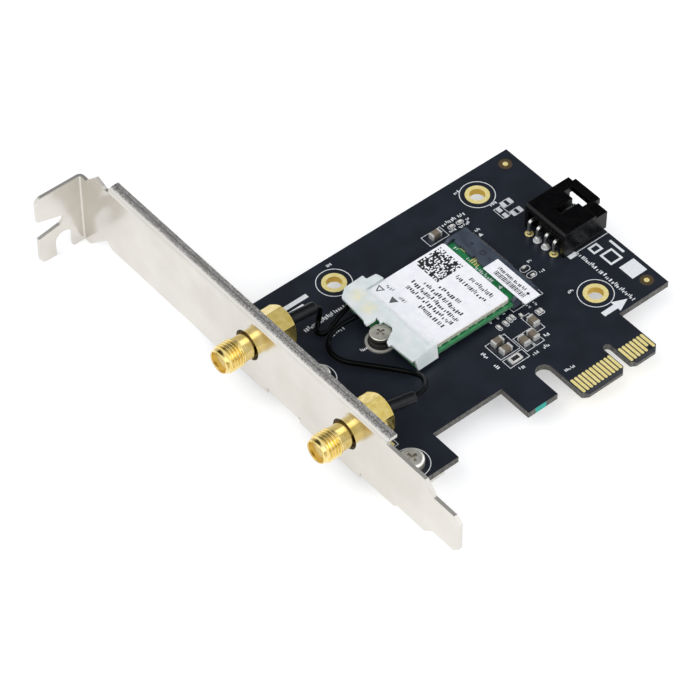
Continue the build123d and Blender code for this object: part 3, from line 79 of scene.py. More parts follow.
def add_object(name, data):
    """A new object in the scene, round a camera, a lamp, a curve or a mesh."""
    made = bpy.data.objects.new(name, data)
    bpy.context.scene.collection.objects.link(made)
    return made


camera = add_object("camera", bpy.data.cameras.new("camera"))
camera.location = Vector(CAMERA_PLACE) * MM
camera.rotation_euler = Euler([radians(a) for a in CAMERA_ANGLES])
camera.data.lens = CAMERA_LENS
camera.data.sensor_width = 36
camera.data.clip_start = 0.01
bpy.context.scene.camera = camera
bpy.context.scene.view_settings.view_transform = "Standard"
print("camera at", tuple(camera.location))

# %% [markdown]
# Two thin coaxial leads run from the jacks to the radio module. A curve with a round
# bevel is the natural tool: its control points are the route of the solid tube with both
# ends added, and a spline of order 3 rounds every corner the way a limp jacket does. A
# curve's box counts the radius of its points, so the points carry the lead's radius and
# the bevel only multiplies it by one.

# %% Leads
LEAD_D = 1.13
LOWER_LEAD = [
    (-45.213, 18.227, 6.514),
    (-40.19, 17.41, 6.19),
    (-36.4, 20.5, 4.4),
    (-35.0, 25.0, 1.9),
    (-39.9, 32.2, 1.3),
    (-45.0, 38.3, 1.3),
    (-43.7, 43.6, 1.5),
    (-38.8, 44.5, 2.95),
    (-33.67, 43.519, 2.95),
]
UPPER_LEAD = [
    (-45.165, 48.970, 6.504),
    (-40.25, 48.7, 6.18),
    (-40.55, 49.2, 0.95),
    (-43.1, 47.2, 0.85),
    (-41.7, 45.1, 1.0),
    (-37.9, 46.2, 2.95),
    (-33.864, 47.05, 2.95),
]


def lead(name, route, node):
    """A round black lead along a route, in place of a node."""
    curve = bpy.data.curves.new(name, "CURVE")
    curve.dimensions = "3D"
    curve.bevel_depth = 1.0
    curve.bevel_resolution = 5
    curve.resolution_u = 16
    curve.use_fill_caps = True
    spline = curve.splines.new("NURBS")
    spline.points.add(len(route) - 1)
    for point, place in zip(spline.points, route):
        point.co = (*[c * MM for c in place], 1)
        point.radius = LEAD_D / 2 * MM
    spline.order_u = 3
    spline.use_endpoint_u = True
    piece = add_object(name, curve)
    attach(piece, "root")
    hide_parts(node)
    return piece


lower_lead = lead("coax_lead_lower", LOWER_LEAD, "antenna_lead_lower")
upper_lead = lead("coax_lead_upper", UPPER_LEAD, "antenna_lead_upper")
print("leads made:", lower_lead.name, upper_lead.name)

# %% [markdown]
# Light for metal is mostly what the metal sees. The card stands in a white tent, so the
# upright face of the bracket, which mirrors the floor, comes out bright. What faces up,
# such as the board and the flange, mirrors one part of the tent behind the card. A black
# flag hangs there, as a photographer would hang one, and keeps black things black. The
# floor glows a little, as a light table does, so shadows stay faint.

# %% Floor
FLOOR_Z = cad_box[0].z
FLOOR_HALF = 1.5
FLOOR_GLOW = 0.45


def linear(code):
    """A colour as written in an image editor, turned into the linear light that shaders add up."""
    parts = [int(code[i : i + 2], 16) / 255 for i in (1, 3, 5)]
    return (*[p / 12.92 if p <= 0.04045 else ((p + 0.055) / 1.055) ** 2.4 for p in parts], 1)


def add(tree, kind, settings=None, links=None):
    """One new node: settings go to sockets or properties by name, links come from other nodes."""
    made = tree.nodes.new(kind)
    for key, value in (settings or {}).items():
        if isinstance(key, int) or key in made.inputs:
            made.inputs[key].default_value = value
        else:
            setattr(made, key, value)
    for key, source in (links or {}).items():
        tree.links.new(source, made.inputs[key])
    return made


def finish_mesh(name, bm):
    """The bmesh as an object, its faces pointing outwards."""
    bmesh.ops.recalc_face_normals(bm, faces=bm.faces)
    mesh = bpy.data.meshes.new(name)
    bm.to_mesh(mesh)
    bm.free()
    return add_object(name, mesh)


bm = bmesh.new()
level = Matrix.Translation((0, 0, FLOOR_Z))
bmesh.ops.create_grid(bm, x_segments=1, y_segments=1, size=FLOOR_HALF, matrix=level)
floor = finish_mesh("floor", bm)
paper_floor = bpy.data.materials.new("seamless_white_paper")
paper_floor.use_nodes = True
shader = paper_floor.node_tree.nodes["Principled BSDF"]
shader.inputs["Base Color"].default_value = linear("#dcdcdc")
shader.inputs["Roughness"].default_value = 0.9
shader.inputs["Specular IOR Level"].default_value = 0.1
shader.inputs["Emission Color"].default_value = linear("#ffffff")
shader.inputs["Emission Strength"].default_value = FLOOR_GLOW
floor.data.materials.append(paper_floor)
print("floor at", round(FLOOR_Z / MM, 2), "mm")

# %% [markdown]
# The tent is the world itself. The flag is a dark spot in it, darkest towards its middle.

# %% Tent and flag
FLAG_TOWARD = (0.43, 0.51, 0.745)
# Degrees from the flag's middle, where it begins and where it is darkest.
FLAG_RIM = (50, 16)
TENT_STRENGTH = 0.98
FLAG_STRENGTH = 0.07

world = bpy.data.worlds.new("white_tent_with_flag")
world.use_nodes = True
bpy.context.scene.world = world
tree = world.node_tree
sky = tree.nodes["Background"]
sky.inputs["Color"].default_value = linear("#f4f6fa")
toward = add(tree, "ShaderNodeTexCoord").outputs["Generated"]
settings = {"operation": "DOT_PRODUCT", 1: FLAG_TOWARD}
nearness = add(tree, "ShaderNodeVectorMath", settings, {0: toward}).outputs["Value"]
settings = {"interpolation_type": "SMOOTHSTEP", "To Min": TENT_STRENGTH, "To Max": FLAG_STRENGTH}
settings |= {"From Min": cos(radians(FLAG_RIM[0])), "From Max": cos(radians(FLAG_RIM[1]))}
flag = add(tree, "ShaderNodeMapRange", settings, {"Value": nearness})
tree.links.new(flag.outputs[0], sky.inputs["Strength"])
print("tent shines at", TENT_STRENGTH, "and its flag at", FLAG_STRENGTH)

# %% [markdown]
# Three square soft boxes face the middle of the card. They add what a tent alone lacks,
# a brighter side, so forms turn from light to dark.

# %% Soft boxes
CARD_MIDDLE = (-0.02, 0.04, 0.0)
# Each box has a place and a side in metres, and a power in watts.
SOFT_BOXES = {
    "key_box": ((-0.75, 0.15, 0.95), 0.9, 4.0),
    "fill_box": ((0.15, -0.85, 0.75), 0.8, 2.6),
    "back_box": ((0.62, 0.02, 0.42), 0.3, 0.5),
}

for name, (place, side, power) in SOFT_BOXES.items():
    box = add_object(name, bpy.data.lights.new(name, "AREA"))
    box.data.shape = "RECTANGLE"
    box.data.size = side
    box.data.size_y = side
    box.data.energy = power
    box.location = place
    away = Vector(CARD_MIDDLE) - Vector(place)
    box.rotation_euler = away.to_track_quat("-Z", "Y").to_euler()
print("soft boxes:", list(SOFT_BOXES))

# %% [markdown]
# Every finish starts from one shader that knows plastics and metals alike. Patterns are
# laid out on object coordinates, which are metres here, so a scale of 1 / (0.4 mm) gives
# grains 0.4 mm wide.

# %% Finish helpers
def start_finish(name, colour, roughness, metallic=0.0):
    """A new material, its node tree and its shader, with one even colour to begin with."""
    material = bpy.data.materials.new(name)
    material.use_nodes = True
    shader = material.node_tree.nodes["Principled BSDF"]
    shader.inputs["Base Color"].default_value = linear(colour)
    shader.inputs["Roughness"].default_value = roughness
    shader.inputs["Metallic"].default_value = metallic
    return material, material.node_tree, shader


def grain(tree, size_mm, detail=2.0, stretch=(1, 1, 1)):
    """Soft random patches about size_mm across, stretched along an axis if asked."""
    place = add(tree, "ShaderNodeTexCoord").outputs["Object"]
    fitted = add(tree, "ShaderNodeMapping", {"Scale": Vector(stretch)}, {"Vector": place})
    settings = {"Scale": 1 / (size_mm * MM), "Detail": detail}
    return add(tree, "ShaderNodeTexNoise", settings, {"Vector": fitted.outputs[0]}).outputs["Fac"]


def dent(tree, shader, height, depth_mm, edge_mm=0.0):
    """Bumps the surface by a height pattern, over edges softened by edge_mm."""
    settings = {"Strength": 1.0, "Distance": depth_mm * MM}
    bump = add(tree, "ShaderNodeBump", settings, {"Height": height})
    if edge_mm:
        soft = add(tree, "ShaderNodeBevel", {"samples": 8, "Radius": edge_mm * MM})
        tree.links.new(soft.outputs[0], bump.inputs["Normal"])
    tree.links.new(bump.outputs[0], shader.inputs["Normal"])


def spread(tree, source, low, high):
    """The source's middle range stretched to run from low to high."""
    settings = {"From Min": 0.35, "From Max": 0.65, "To Min": low, "To Max": high}
    return add(tree, "ShaderNodeMapRange", settings, {"Value": source}).outputs[0]


def blend(tree, factor, first, second):
    """Two colours or sockets mixed by a factor, at sockets 6 and 7 of a colour mix."""
    mix = add(tree, "ShaderNodeMix", {"data_type": "RGBA"}, {0: factor})
    for slot, value in ((6, first), (7, second)):
        if isinstance(value, str):
            mix.inputs[slot].default_value = linear(value)
        else:
            tree.links.new(value, mix.inputs[slot])
    return mix.outputs[2]


def mottle(tree, pattern, first, second):
    """Two colours in soft patches that follow a pattern."""
    return blend(tree, spread(tree, pattern, 0.0, 1.0), first, second)


def paint(tree, shader, colour):
    tree.links.new(colour, shader.inputs["Base Color"])


def scuff(tree, shader, size_mm, low, high):
    """Roughness that wanders between two values, in patches about size_mm across."""
    tree.links.new(spread(tree, grain(tree, size_mm), low, high), shader.inputs["Roughness"])


def tell(*materials):
    print("finishes:", [material.name for material in materials])


print("a grain 0.4 mm wide has a noise scale of", round(1 / (0.4 * MM)))

# %% [markdown]
# Some finishes change from place to place. Each of these helpers gives 1 at the wanted
# place and 0 away from it, and two such answers can be joined.

# %% Place helpers
def cut_edge(tree):
    """1 on faces that stand upright, 0 on faces that lie flat."""
    normal = add(tree, "ShaderNodeNewGeometry").outputs["Normal"]
    up = add(tree, "ShaderNodeSeparateXYZ", {}, {0: normal}).outputs["Z"]
    size = add(tree, "ShaderNodeMath", {"operation": "ABSOLUTE"}, {0: up}).outputs[0]
    return add(tree, "ShaderNodeMath", {"operation": "LESS_THAN", 1: 0.5}, {0: size}).outputs[0]


def within(tree, axis, low_mm, high_mm):
    """1 where the place along an axis lies between two values in mm."""
    place = add(tree, "ShaderNodeTexCoord").outputs["Object"]
    along = add(tree, "ShaderNodeSeparateXYZ", {}, {0: place}).outputs[axis]
    middle, half = (low_mm + high_mm) / 2 * MM, (high_mm - low_mm) / 2 * MM
    settings = {"operation": "COMPARE", 1: middle, 2: half}
    return add(tree, "ShaderNodeMath", settings, {0: along}).outputs[0]


def near(tree, x_mm, y_mm, inner_mm, outer_mm):
    """1 within inner_mm of an upright axis, fading to 0 at outer_mm."""
    place = add(tree, "ShaderNodeTexCoord").outputs["Object"]
    flat = add(tree, "ShaderNodeVectorMath", {"operation": "MULTIPLY", 1: (1, 1, 0)}, {0: place})
    settings = {"operation": "DISTANCE", 1: (x_mm * MM, y_mm * MM, 0)}
    away = add(tree, "ShaderNodeVectorMath", settings, {0: flat.outputs[0]}).outputs["Value"]
    settings = {"From Min": inner_mm * MM, "From Max": outer_mm * MM, "To Min": 1.0, "To Max": 0.0}
    return add(tree, "ShaderNodeMapRange", settings, {"Value": away}).outputs[0]


def both(tree, first, second):
    """1 where both factors are 1."""
    return add(tree, "ShaderNodeMath", {"operation": "MULTIPLY"}, {0: first, 1: second}).outputs[0]


def either(tree, first, second):
    """1 where one of two factors that never meet is 1."""
    return add(tree, "ShaderNodeMath", {"operation": "ADD"}, {0: first, 1: second}).outputs[0]


print("place helpers:", [f.__name__ for f in (cut_edge, within, near, both, either)])

# %% [markdown]
# The circuit board is glass cloth in epoxy under black solder mask. The mask is cast
# thin over copper and cloth, which gives a slow ripple and a slight unevenness of black.
# Routed edges cut through the cloth, so they show dull grey-brown, with one teal stripe
# of ink on the lug's front edge. The walls of the plated holes are gold.

# %% Circuit board finish
MASK_RIPPLE = 0.8
MASK_PATCH = 6.0
CLOTH_THREAD = 0.35
INK_STRIPE_X = (-21.9, -19.0)
INK_STRIPE_Y = (3.9, 4.2)
PLATED_HOLES = [(-30.9, 55.9), (8.25, 55.9), (8.25, 19.2)]
HOLE_WALL_R = (2.0, 2.1)
MASK_ROUGHNESS = 0.36
ROUTED_ROUGHNESS = 0.7

solder_mask, tree, shader = start_finish("black_solder_mask_on_glass_epoxy", "#1b1f27", MASK_ROUGHNESS)
mask = mottle(tree, grain(tree, MASK_PATCH), "#181c25", "#1f242e")
threads = grain(tree, CLOTH_THREAD, 3.0, (1, 1, 0.3))
routed = mottle(tree, threads, "#403f3c", "#67655f")
stripe = both(tree, within(tree, "X", *INK_STRIPE_X), within(tree, "Y", *INK_STRIPE_Y))
routed = blend(tree, stripe, routed, "#1f9a8c")
edge = cut_edge(tree)
at_hole = near(tree, *PLATED_HOLES[0], *HOLE_WALL_R)
for place in PLATED_HOLES[1:]:
    at_hole = either(tree, at_hole, near(tree, *place, *HOLE_WALL_R))
plated = both(tree, at_hole, edge)
routed = blend(tree, plated, routed, "#e0c46a")
paint(tree, shader, blend(tree, edge, mask, routed))
tree.links.new(plated, shader.inputs["Metallic"])
settings = {"To Min": MASK_ROUGHNESS, "To Max": ROUTED_ROUGHNESS}
rough = add(tree, "ShaderNodeMapRange", settings, {"Value": edge})
tree.links.new(rough.outputs[0], shader.inputs["Roughness"])
dent(tree, shader, grain(tree, MASK_RIPPLE, 3.0), 0.006)
tell(solder_mask)

# %% [markdown]
# Gold on the contacts and pads is plated thin over nickel and is matt, so it is paler
# than jewellery gold and more plain colour than mirror. The bare pads beside the header
# and its two middle pin pads are tinned. Print ink is a dense epoxy white.

# %% Gold pads, print ink and bare mask windows
TINNED_X = (7.0, 13.6)
TINNED_Y = (45.5, 51.8)
PIN_PADS_Y = (34.2, 39.2)
GOLD_PATCH = 0.6

gold_plate, tree, shader = start_finish("flash_gold_over_nickel", "#f7e498", 0.5, 0.35)
paint(tree, shader, mottle(tree, grain(tree, GOLD_PATCH), "#f7e38e", "#fef0ae"))
dent(tree, shader, grain(tree, 0.15), 0.001)

pad_metal, tree, shader = start_finish("gold_pads_some_tinned", "#f7e498", 0.5, 0.35)
gold = mottle(tree, grain(tree, GOLD_PATCH), "#f3dd88", "#fbeba8")
tinned = both(tree, within(tree, "X", *TINNED_X), within(tree, "Y", *TINNED_Y))
middle_pins = both(tree, within(tree, "X", *TINNED_X), within(tree, "Y", *PIN_PADS_Y))
tinned = either(tree, tinned, middle_pins)
paint(tree, shader, blend(tree, tinned, gold, "#e9eaec"))
dent(tree, shader, grain(tree, 0.3), 0.002)

print_ink, tree, shader = start_finish("white_epoxy_print_ink", "#d9dcdf", 0.55)
paint(tree, shader, mottle(tree, grain(tree, 0.3, 4.0), "#d6d9dc", "#eff1f2"))

bare_laminate, tree, shader = start_finish("bare_laminate_window", "#4a3b22", 0.5)
paint(tree, shader, mottle(tree, grain(tree, 0.25), "#3d311e", "#58462a"))
tell(gold_plate, pad_metal, print_ink, bare_laminate)

# %% [markdown]
# The bracket is cold-rolled steel, folded and then nickel-plated. Nickel is a warm
# white metal. Its upright faces are smooth enough to mirror the floor softly. Faces that
# look up are duller, so they gather light from all round the flag. The top of the flange,
# which was rubbed in the folding tool, is speckled too, and a hairline runs along it.
# The screws are nickelled as well. Their upright sides and the walls of their cross
# recesses are painted darker, a painted shade, and the bracket's two screws are painted
# lighter than the module's, a painted highlight. The pressed post under the module is dull tin.

# %% Bracket finish
FLANGE_TOP_Z = cad_box[1].z / MM
RUBBED_Z = (FLANGE_TOP_Z - 0.12, FLANGE_TOP_Z + 0.1)
LOOKING_UP_ROUGHNESS = 0.52
UPRIGHT_ROUGHNESS = 0.2
HAIRLINE_X = (-57.26, -57.16)
RUB_GRAIN = 0.3
ROLL_GRAIN = 9.0
BRACKET_SCREWS_X = (-54.0, -46.0)
STANDOFF_LOW, STANDOFF_HIGH = (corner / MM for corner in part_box("standoff"))
STANDOFF_AXIS = ((STANDOFF_LOW.x + STANDOFF_HIGH.x) / 2, (STANDOFF_LOW.y + STANDOFF_HIGH.y) / 2)
STANDOFF_RIM = 0.5
RIM_FADE = 0.1
STANDOFF_HOLE_R = (STANDOFF_HIGH.x - STANDOFF_LOW.x) / 2 - STANDOFF_RIM

name = "bright_nickel_on_folded_steel"
nickel, tree, shader = start_finish(name, "#d5d1c9", UPRIGHT_ROUGHNESS, 1.0)
plate = mottle(tree, grain(tree, ROLL_GRAIN), "#d2cec6", "#dad6cf")
on_flange = within(tree, "Z", *RUBBED_Z)
speckle = grain(tree, RUB_GRAIN, 6.0)
rubbed = mottle(tree, speckle, "#94918c", "#f7f4f0")
hairline = within(tree, "X", *HAIRLINE_X)
rubbed = blend(tree, hairline, rubbed, "#3a3836")
paint(tree, shader, blend(tree, on_flange, plate, rubbed))
settings = {"To Min": LOOKING_UP_ROUGHNESS, "To Max": UPRIGHT_ROUGHNESS}
dull = add(tree, "ShaderNodeMapRange", settings, {"Value": cut_edge(tree)})
tree.links.new(dull.outputs[0], shader.inputs["Roughness"])
dent(tree, shader, both(tree, speckle, on_flange), 0.05, edge_mm=0.12)

screw_nickel, tree, shader = start_finish("nickelled_screw_steel", "#dedacd", 0.44, 0.75)
scuff(tree, shader, 1.5, 0.3, 0.44)
# The bracket's screws are painted lighter than the module's: painted highlight.
lit_bracket_screws = within(tree, "X", *BRACKET_SCREWS_X)
top = blend(tree, lit_bracket_screws, "#e8e4d8", "#fbf8ee")
side = blend(tree, lit_bracket_screws, "#6e6a60", "#b4b0a4")
# Upright faces, the heads' sides and the cross recesses, are painted darker: painted shade.
paint(tree, shader, blend(tree, cut_edge(tree), top, side))
dent(tree, shader, grain(tree, 1.2), 0.003, edge_mm=0.08)

standoff_tin, tree, shader = start_finish("dull_tin_on_pressed_post", "#c9c5bc", 0.42, 0.4)
scuff(tree, shader, 0.8, 0.36, 0.5)
shaded = near(tree, *STANDOFF_AXIS, STANDOFF_HOLE_R - RIM_FADE, STANDOFF_HOLE_R)
paint(tree, shader, blend(tree, shaded, "#cfcbc2", "#3a3733"))
tell(nickel, screw_nickel, standoff_tin)

# %% [markdown]
# The jacks are turned brass with bright gold plate. Lathe marks run round them, too
# fine to see one by one, so the pattern is drawn as coarse as 0.12 mm. The hexagons
# behind the sheet are painted a deeper, darker yellow than the barrels, as painted shade.
# Where the gap round a barrel lets the hexagon's front show, it is painted dark brown,
# also painted shade. The pins are bright tin, the solder is duller, and the insulator,
# white PTFE, is painted cream-gold for the gold light from the bore round it, a painted
# reflection.

# %% Jack, pin and insulator finishes
LATHE_MARK = 0.12
HEXAGON_X = (-58.1, -45.0)
HOLE_GAP_X = (-58.3, -57.95)

jack_gold, tree, shader = start_finish("bright_gold_on_turned_brass", "#efd994", 0.2, 1.0)
knocks = grain(tree, 1.4, 3.0)
barrel = mottle(tree, knocks, "#e8cc76", "#f5df9c")
# The hexagons' darker yellow is painted shade.
hexagon = mottle(tree, knocks, "#d2b962", "#e3cd82")
hexagon_shade_zone = within(tree, "X", *HEXAGON_X)
turned = blend(tree, hexagon_shade_zone, barrel, hexagon)
# The hexagon's front in the gap round the barrel is painted dark brown as shade.
shaded_gap = within(tree, "X", *HOLE_GAP_X)
paint(tree, shader, blend(tree, shaded_gap, turned, "#4a3a22"))
scuff(tree, shader, 1.2, 0.1, 0.24)
dent(tree, shader, grain(tree, LATHE_MARK, 1.0, (1, 0.05, 0.05)), 0.001, edge_mm=0.08)

tin, tree, shader = start_finish("bright_tin_on_pin", "#d8d8d4", 0.24, 1.0)
scuff(tree, shader, 0.3, 0.2, 0.36)

solder, tree, shader = start_finish("reflowed_solder", "#f4f4f2", 0.4, 0.5)
dent(tree, shader, grain(tree, 0.35, 3.0), 0.01)

# White PTFE painted cream-gold: a painted reflection of the gold bore.
ptfe_painted_gold_light, tree, shader = start_finish("ptfe_insulator_painted_gold_light", "#dcc78e", 0.5)
scuff(tree, shader, 0.4, 0.42, 0.6)
tell(jack_gold, tin, solder, ptfe_painted_gold_light)

# %% [markdown]
# Black is three different things here: the leads' glossy extruded jacket, the shrunk
# tubing that creases over its crimp, and the header's glass-filled moulding, whose
# crisp edges catch a thin line of light. The socket is slate grey, with faint streaks
# where the plastic flowed along its length.

# %% Black and slate plastics
jacket, tree, shader = start_finish("black_fluoropolymer_jacket", "#020304", 0.2)
shader.inputs["Specular IOR Level"].default_value = 0.08
dent(tree, shader, grain(tree, 0.9), 0.02)

shrink, tree, shader = start_finish("black_shrink_tubing", "#0b0c0e", 0.36)
shader.inputs["Specular IOR Level"].default_value = 0.25
paint(tree, shader, mottle(tree, grain(tree, 0.8), "#090a0c", "#121317"))
dent(tree, shader, grain(tree, 0.7, 3.0, (0.5, 1, 1)), 0.08)

header_black, tree, shader = start_finish("black_glass_filled_nylon", "#020203", 0.3)
shader.inputs["Specular IOR Level"].default_value = 0.25
scuff(tree, shader, 1.6, 0.24, 0.32)
dent(tree, shader, grain(tree, 0.9), 0.002, edge_mm=0.08)

socket_grey, tree, shader = start_finish("slate_liquid_crystal_polymer", "#39414c", 0.42)
flow = grain(tree, 1.2, 3.0, (1, 0.2, 1))
paint(tree, shader, mottle(tree, flow, "#343b47", "#424b58"))
dent(tree, shader, grain(tree, 0.3, 3.0), 0.004, edge_mm=0.08)
tell(jacket, shrink, header_black, socket_grey)

# %% [markdown]
# The radio module is a small green board under a drawn tinplate can. The can's walls
# stop short of the board between their solder feet, and the dark space under them is
# painted on the walls as a row of dark dashes, a painted shade. Its label is coated paper.

# %% Module finishes
CAN_DASH_Z = (2.2, 2.6)
CAN_DASH_PITCH = 2.4
CAN_FOOT_W = 0.7

module_green, tree, shader = start_finish("green_solder_mask_module", "#2a7d4f", 0.3)
copper = grain(tree, 0.9, 4.0)
green = mottle(tree, copper, "#237546", "#339058")
edge = cut_edge(tree)
cut_cloth = mottle(tree, grain(tree, 0.3), "#2b6a47", "#5f926d")
paint(tree, shader, blend(tree, edge, green, cut_cloth))
dent(tree, shader, copper, 0.01)

tinplate, tree, shader = start_finish("drawn_tinplate_can", "#e3ddd0", 0.4, 0.55)
place = add(tree, "ShaderNodeTexCoord").outputs["Object"]
along = add(tree, "ShaderNodeSeparateXYZ", {}, {0: place})
run = add(tree, "ShaderNodeMath", {"operation": "ADD"}, {0: along.outputs["X"], 1: along.outputs["Y"]})
settings = {"operation": "PINGPONG", 1: CAN_DASH_PITCH / 2 * MM}
beat = add(tree, "ShaderNodeMath", settings, {0: run.outputs[0]}).outputs[0]
settings = {"operation": "GREATER_THAN", 1: CAN_FOOT_W / 2 * MM}
dash = add(tree, "ShaderNodeMath", settings, {0: beat}).outputs[0]
# Dark dashes of painted shade where the wall stops short of the board.
gap = both(tree, dash, within(tree, "Z", *CAN_DASH_Z))
wall = mottle(tree, grain(tree, 0.8), "#d9d2c4", "#ebe6dc")
paint(tree, shader, blend(tree, gap, wall, "#1f2a22"))
dent(tree, shader, grain(tree, 0.4), 0.004, edge_mm=0.1)

label_paper, tree, shader = start_finish("coated_label_paper", "#dfdfe3", 0.55)
paint(tree, shader, mottle(tree, grain(tree, 1.5, 4.0), "#efeff3", "#f7f7fa"))
dent(tree, shader, grain(tree, 0.5, 3.0), 0.004)

label_ink, tree, shader = start_finish("black_label_print", "#2a2a2c", 0.6)
paint(tree, shader, mottle(tree, grain(tree, 0.2), "#0e0e10", "#1c1c1e"))
tell(module_green, tinplate, label_paper, label_ink)

# %% [markdown]
# The clip is milky unfilled polypropylene. Where it lies thin on the label, the print
# shows through it. Over the plugs it is thick and nearly opaque, so the faint gold of the
# plugs under it is painted on as pale yellow patches, a painted glow. Blurred refraction
# would be truer but dims the paper, since hardly any light finds its way in, so the
# surface is partly see-through instead. The small parts on the board are brown and white
# ceramic with tinned ends.

# %% Clip and ceramic finishes
THIN_FROM_X = -30.2
THIN_TO_X = -29.0
THIN_Y = (27.6, 47.3)
CLIP_ALPHA = {"To Min": 0.8, "To Max": 0.06}
PLUGS_UNDER_CLIP = [(-32.1, 47.05), (-32.6, 42.9)]
PLUG_GLOW_R = (0.2, 2.3)

clip_milky, tree, shader = start_finish("milky_polypropylene", "#d6dcdb", 0.3)
shader.inputs["IOR"].default_value = 1.49
place = add(tree, "ShaderNodeTexCoord").outputs["Object"]
along = add(tree, "ShaderNodeSeparateXYZ", {}, {0: place}).outputs["X"]
settings = {"From Min": THIN_FROM_X * MM, "From Max": THIN_TO_X * MM}
thin = add(tree, "ShaderNodeMapRange", settings, {"Value": along}).outputs[0]
on_label = both(tree, thin, within(tree, "Y", *THIN_Y))
see_through = add(tree, "ShaderNodeMapRange", CLIP_ALPHA, {"Value": on_label}).outputs[0]
tree.links.new(see_through, shader.inputs["Alpha"])
milk = mottle(tree, grain(tree, 2.5), "#e3eceb", "#f2f6f6")
# The plugs' gold seen through the thick clip is painted on as pale yellow patches: painted light.
for place in PLUGS_UNDER_CLIP:
    glow = near(tree, *place, *PLUG_GLOW_R)
    painted_gold_through_clip = both(tree, glow, spread(tree, grain(tree, 1.1), 0.3, 1.0))
    milk = blend(tree, painted_gold_through_clip, milk, "#fbf2c6")
paint(tree, shader, milk)
dent(tree, shader, grain(tree, 1.0), 0.004)

ceramic_brown, tree, shader = start_finish("fired_capacitor_ceramic", "#85786b", 0.42)
paint(tree, shader, mottle(tree, grain(tree, 0.3, 3.0), "#6a6050", "#80766a"))
dent(tree, shader, grain(tree, 0.2), 0.004, edge_mm=0.1)

ceramic_white, tree, shader = start_finish("alumina_resistor_block", "#dddbd4", 0.5)
scuff(tree, shader, 0.3, 0.42, 0.6)

end_tin, tree, shader = start_finish("tinned_chip_end", "#f0efec", 0.42, 0.6)
dent(tree, shader, grain(tree, 0.25, 3.0), 0.012, edge_mm=0.12)

chip_black, tree, shader = start_finish("black_chip_moulding", "#1f2023", 0.5)
scuff(tree, shader, 0.2, 0.42, 0.6)
tell(clip_milky, ceramic_brown, ceramic_white, end_tin, chip_black)

# %% [markdown]
# Each solid of the frame keeps its shape and takes one finish. The table says which
# pieces each finish goes on.

# %% Dress the frame
def upper_and_lower(*names):
    return [f"{name}_{side}" for name in names for side in ("upper", "lower")]


FINISHES = {
    solder_mask: ["board"],
    gold_plate: ["edge_contacts_top", "edge_contacts_bottom", "plated_holes", "module_contacts"],
    pad_metal: ["surface_pads"],
    nickel: ["bracket"],
    screw_nickel: ["bracket_screws", "module_screw"],
    standoff_tin: ["standoff"],
    jack_gold: [
        "module_receptacles",
        *upper_and_lower("antenna_jack", "jack_pin", "lead_ferrule", "lead_plug"),
    ],
    ptfe_painted_gold_light: upper_and_lower("jack_insulator"),
    shrink: upper_and_lower("lead_sleeve"),
    jacket: upper_and_lower("antenna_lead"),
    module_green: ["module_board"],
    tinplate: ["shield_can"],
    label_paper: ["module_label", "socket_label"],
    socket_grey: ["socket_housing"],
    tin: ["socket_springs", "socket_hold_downs", "header_pins"],
    clip_milky: ["module_clip"],
    header_black: ["header_housing"],
    solder: ["header_solder"],
    ceramic_brown: ["capacitor_bodies"],
    ceramic_white: ["resistor_body", "chip_bodies"],
    end_tin: ["capacitor_ends", "resistor_ends", "chip_ends"],
    chip_black: ["radio_chip", "amplifier_chips", "clock_crystal", "resistor_film"],
}


def wear(piece, material):
    piece.data.materials.clear()
    piece.data.materials.append(material)


for material, names in FINISHES.items():
    for name in names:
        wear(NODES[name], material)
for piece in (lower_lead, upper_lead):
    wear(piece, jacket)
bare = sorted(set(NODES) - {name for names in FINISHES.values() for name in names})
print("nodes left bare:", bare)

# %% [markdown]
# The clip is a thin moulding that hooks over the module's free end, presses the two
# lead plugs down and turns over the module's front side. It could be a block with
# pockets, but a sheet is closer to how it is moulded: one face with the real outline,
# its front edge pulled down, then an even wall, and soft edges all round.

# %% Clip outline
CLIP_LOW, CLIP_HIGH = (corner.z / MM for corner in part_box("module_clip"))
CLIP_WALL = 0.55
CLIP_EDGE_R = 0.16
CLIP_CORNER_R = 0.3
CLIP_FLANGE_END = 0.25
CLIP_ROUND_CORNERS = slice(3, 13)
CLIP_FRONT = [(-34.6, 26.2), (-28.2, 26.9)]
CLIP_FRONT_FOOT = [(-33.9, 25.7), (-28.6, 25.8)]
CLIP_OUTLINE = [
    (-27.6, 27.9),
    (-27.0, 34.2),
    (-25.3, 35.2),
    (-24.9, 47.6),
    (-25.3, 49.2),
    (-27.8, 49.4),
    (-27.7, 50.6),
    (-32.7, 50.4),
    (-34.9, 48.7),
    (-35.4, 41.2),
    (-35.9, 40.4),
    (-35.9, 39.6),
    (-33.6, 39.6),
    (-33.0, 40.1),
    (-33.1, 38.9),
    (-33.6, 38.3),
    (-32.6, 38.3),
    (-32.2, 36.2),
    (-32.8, 35.2),
    (-35.7, 33.6),
    (-36.1, 32.6),
    (-35.5, 32.4),
    (-35.2, 26.3),
]
print("clip outline has", len(CLIP_FRONT + CLIP_OUTLINE), "corners")

# %% [markdown]
# A bevel of some vertices rounds the outline. The wall and the soft edges are modifiers,
# so the mesh itself stays a single sheet.

# %% Clip
def new_verts(geom):
    """The vertices in what an operator says it made."""
    return [v for v in geom if isinstance(v, bmesh.types.BMVert)]


def round_corners(bm, corners, radius, segments):
    """Rounds corners of a flat face."""
    return bmesh.ops.bevel(
        bm,
        geom=corners,
        offset=radius * MM,
        offset_type="OFFSET",
        segments=segments,
        profile=0.5,
        affect="VERTICES",
        material=-1,
    )


def round_edges(piece, name, radius):
    """A modifier that rounds the sharp edges of a piece."""
    soft = piece.modifiers.new(name, "BEVEL")
    soft.width = radius * MM
    soft.segments = 3
    soft.limit_method = "ANGLE"
    return soft


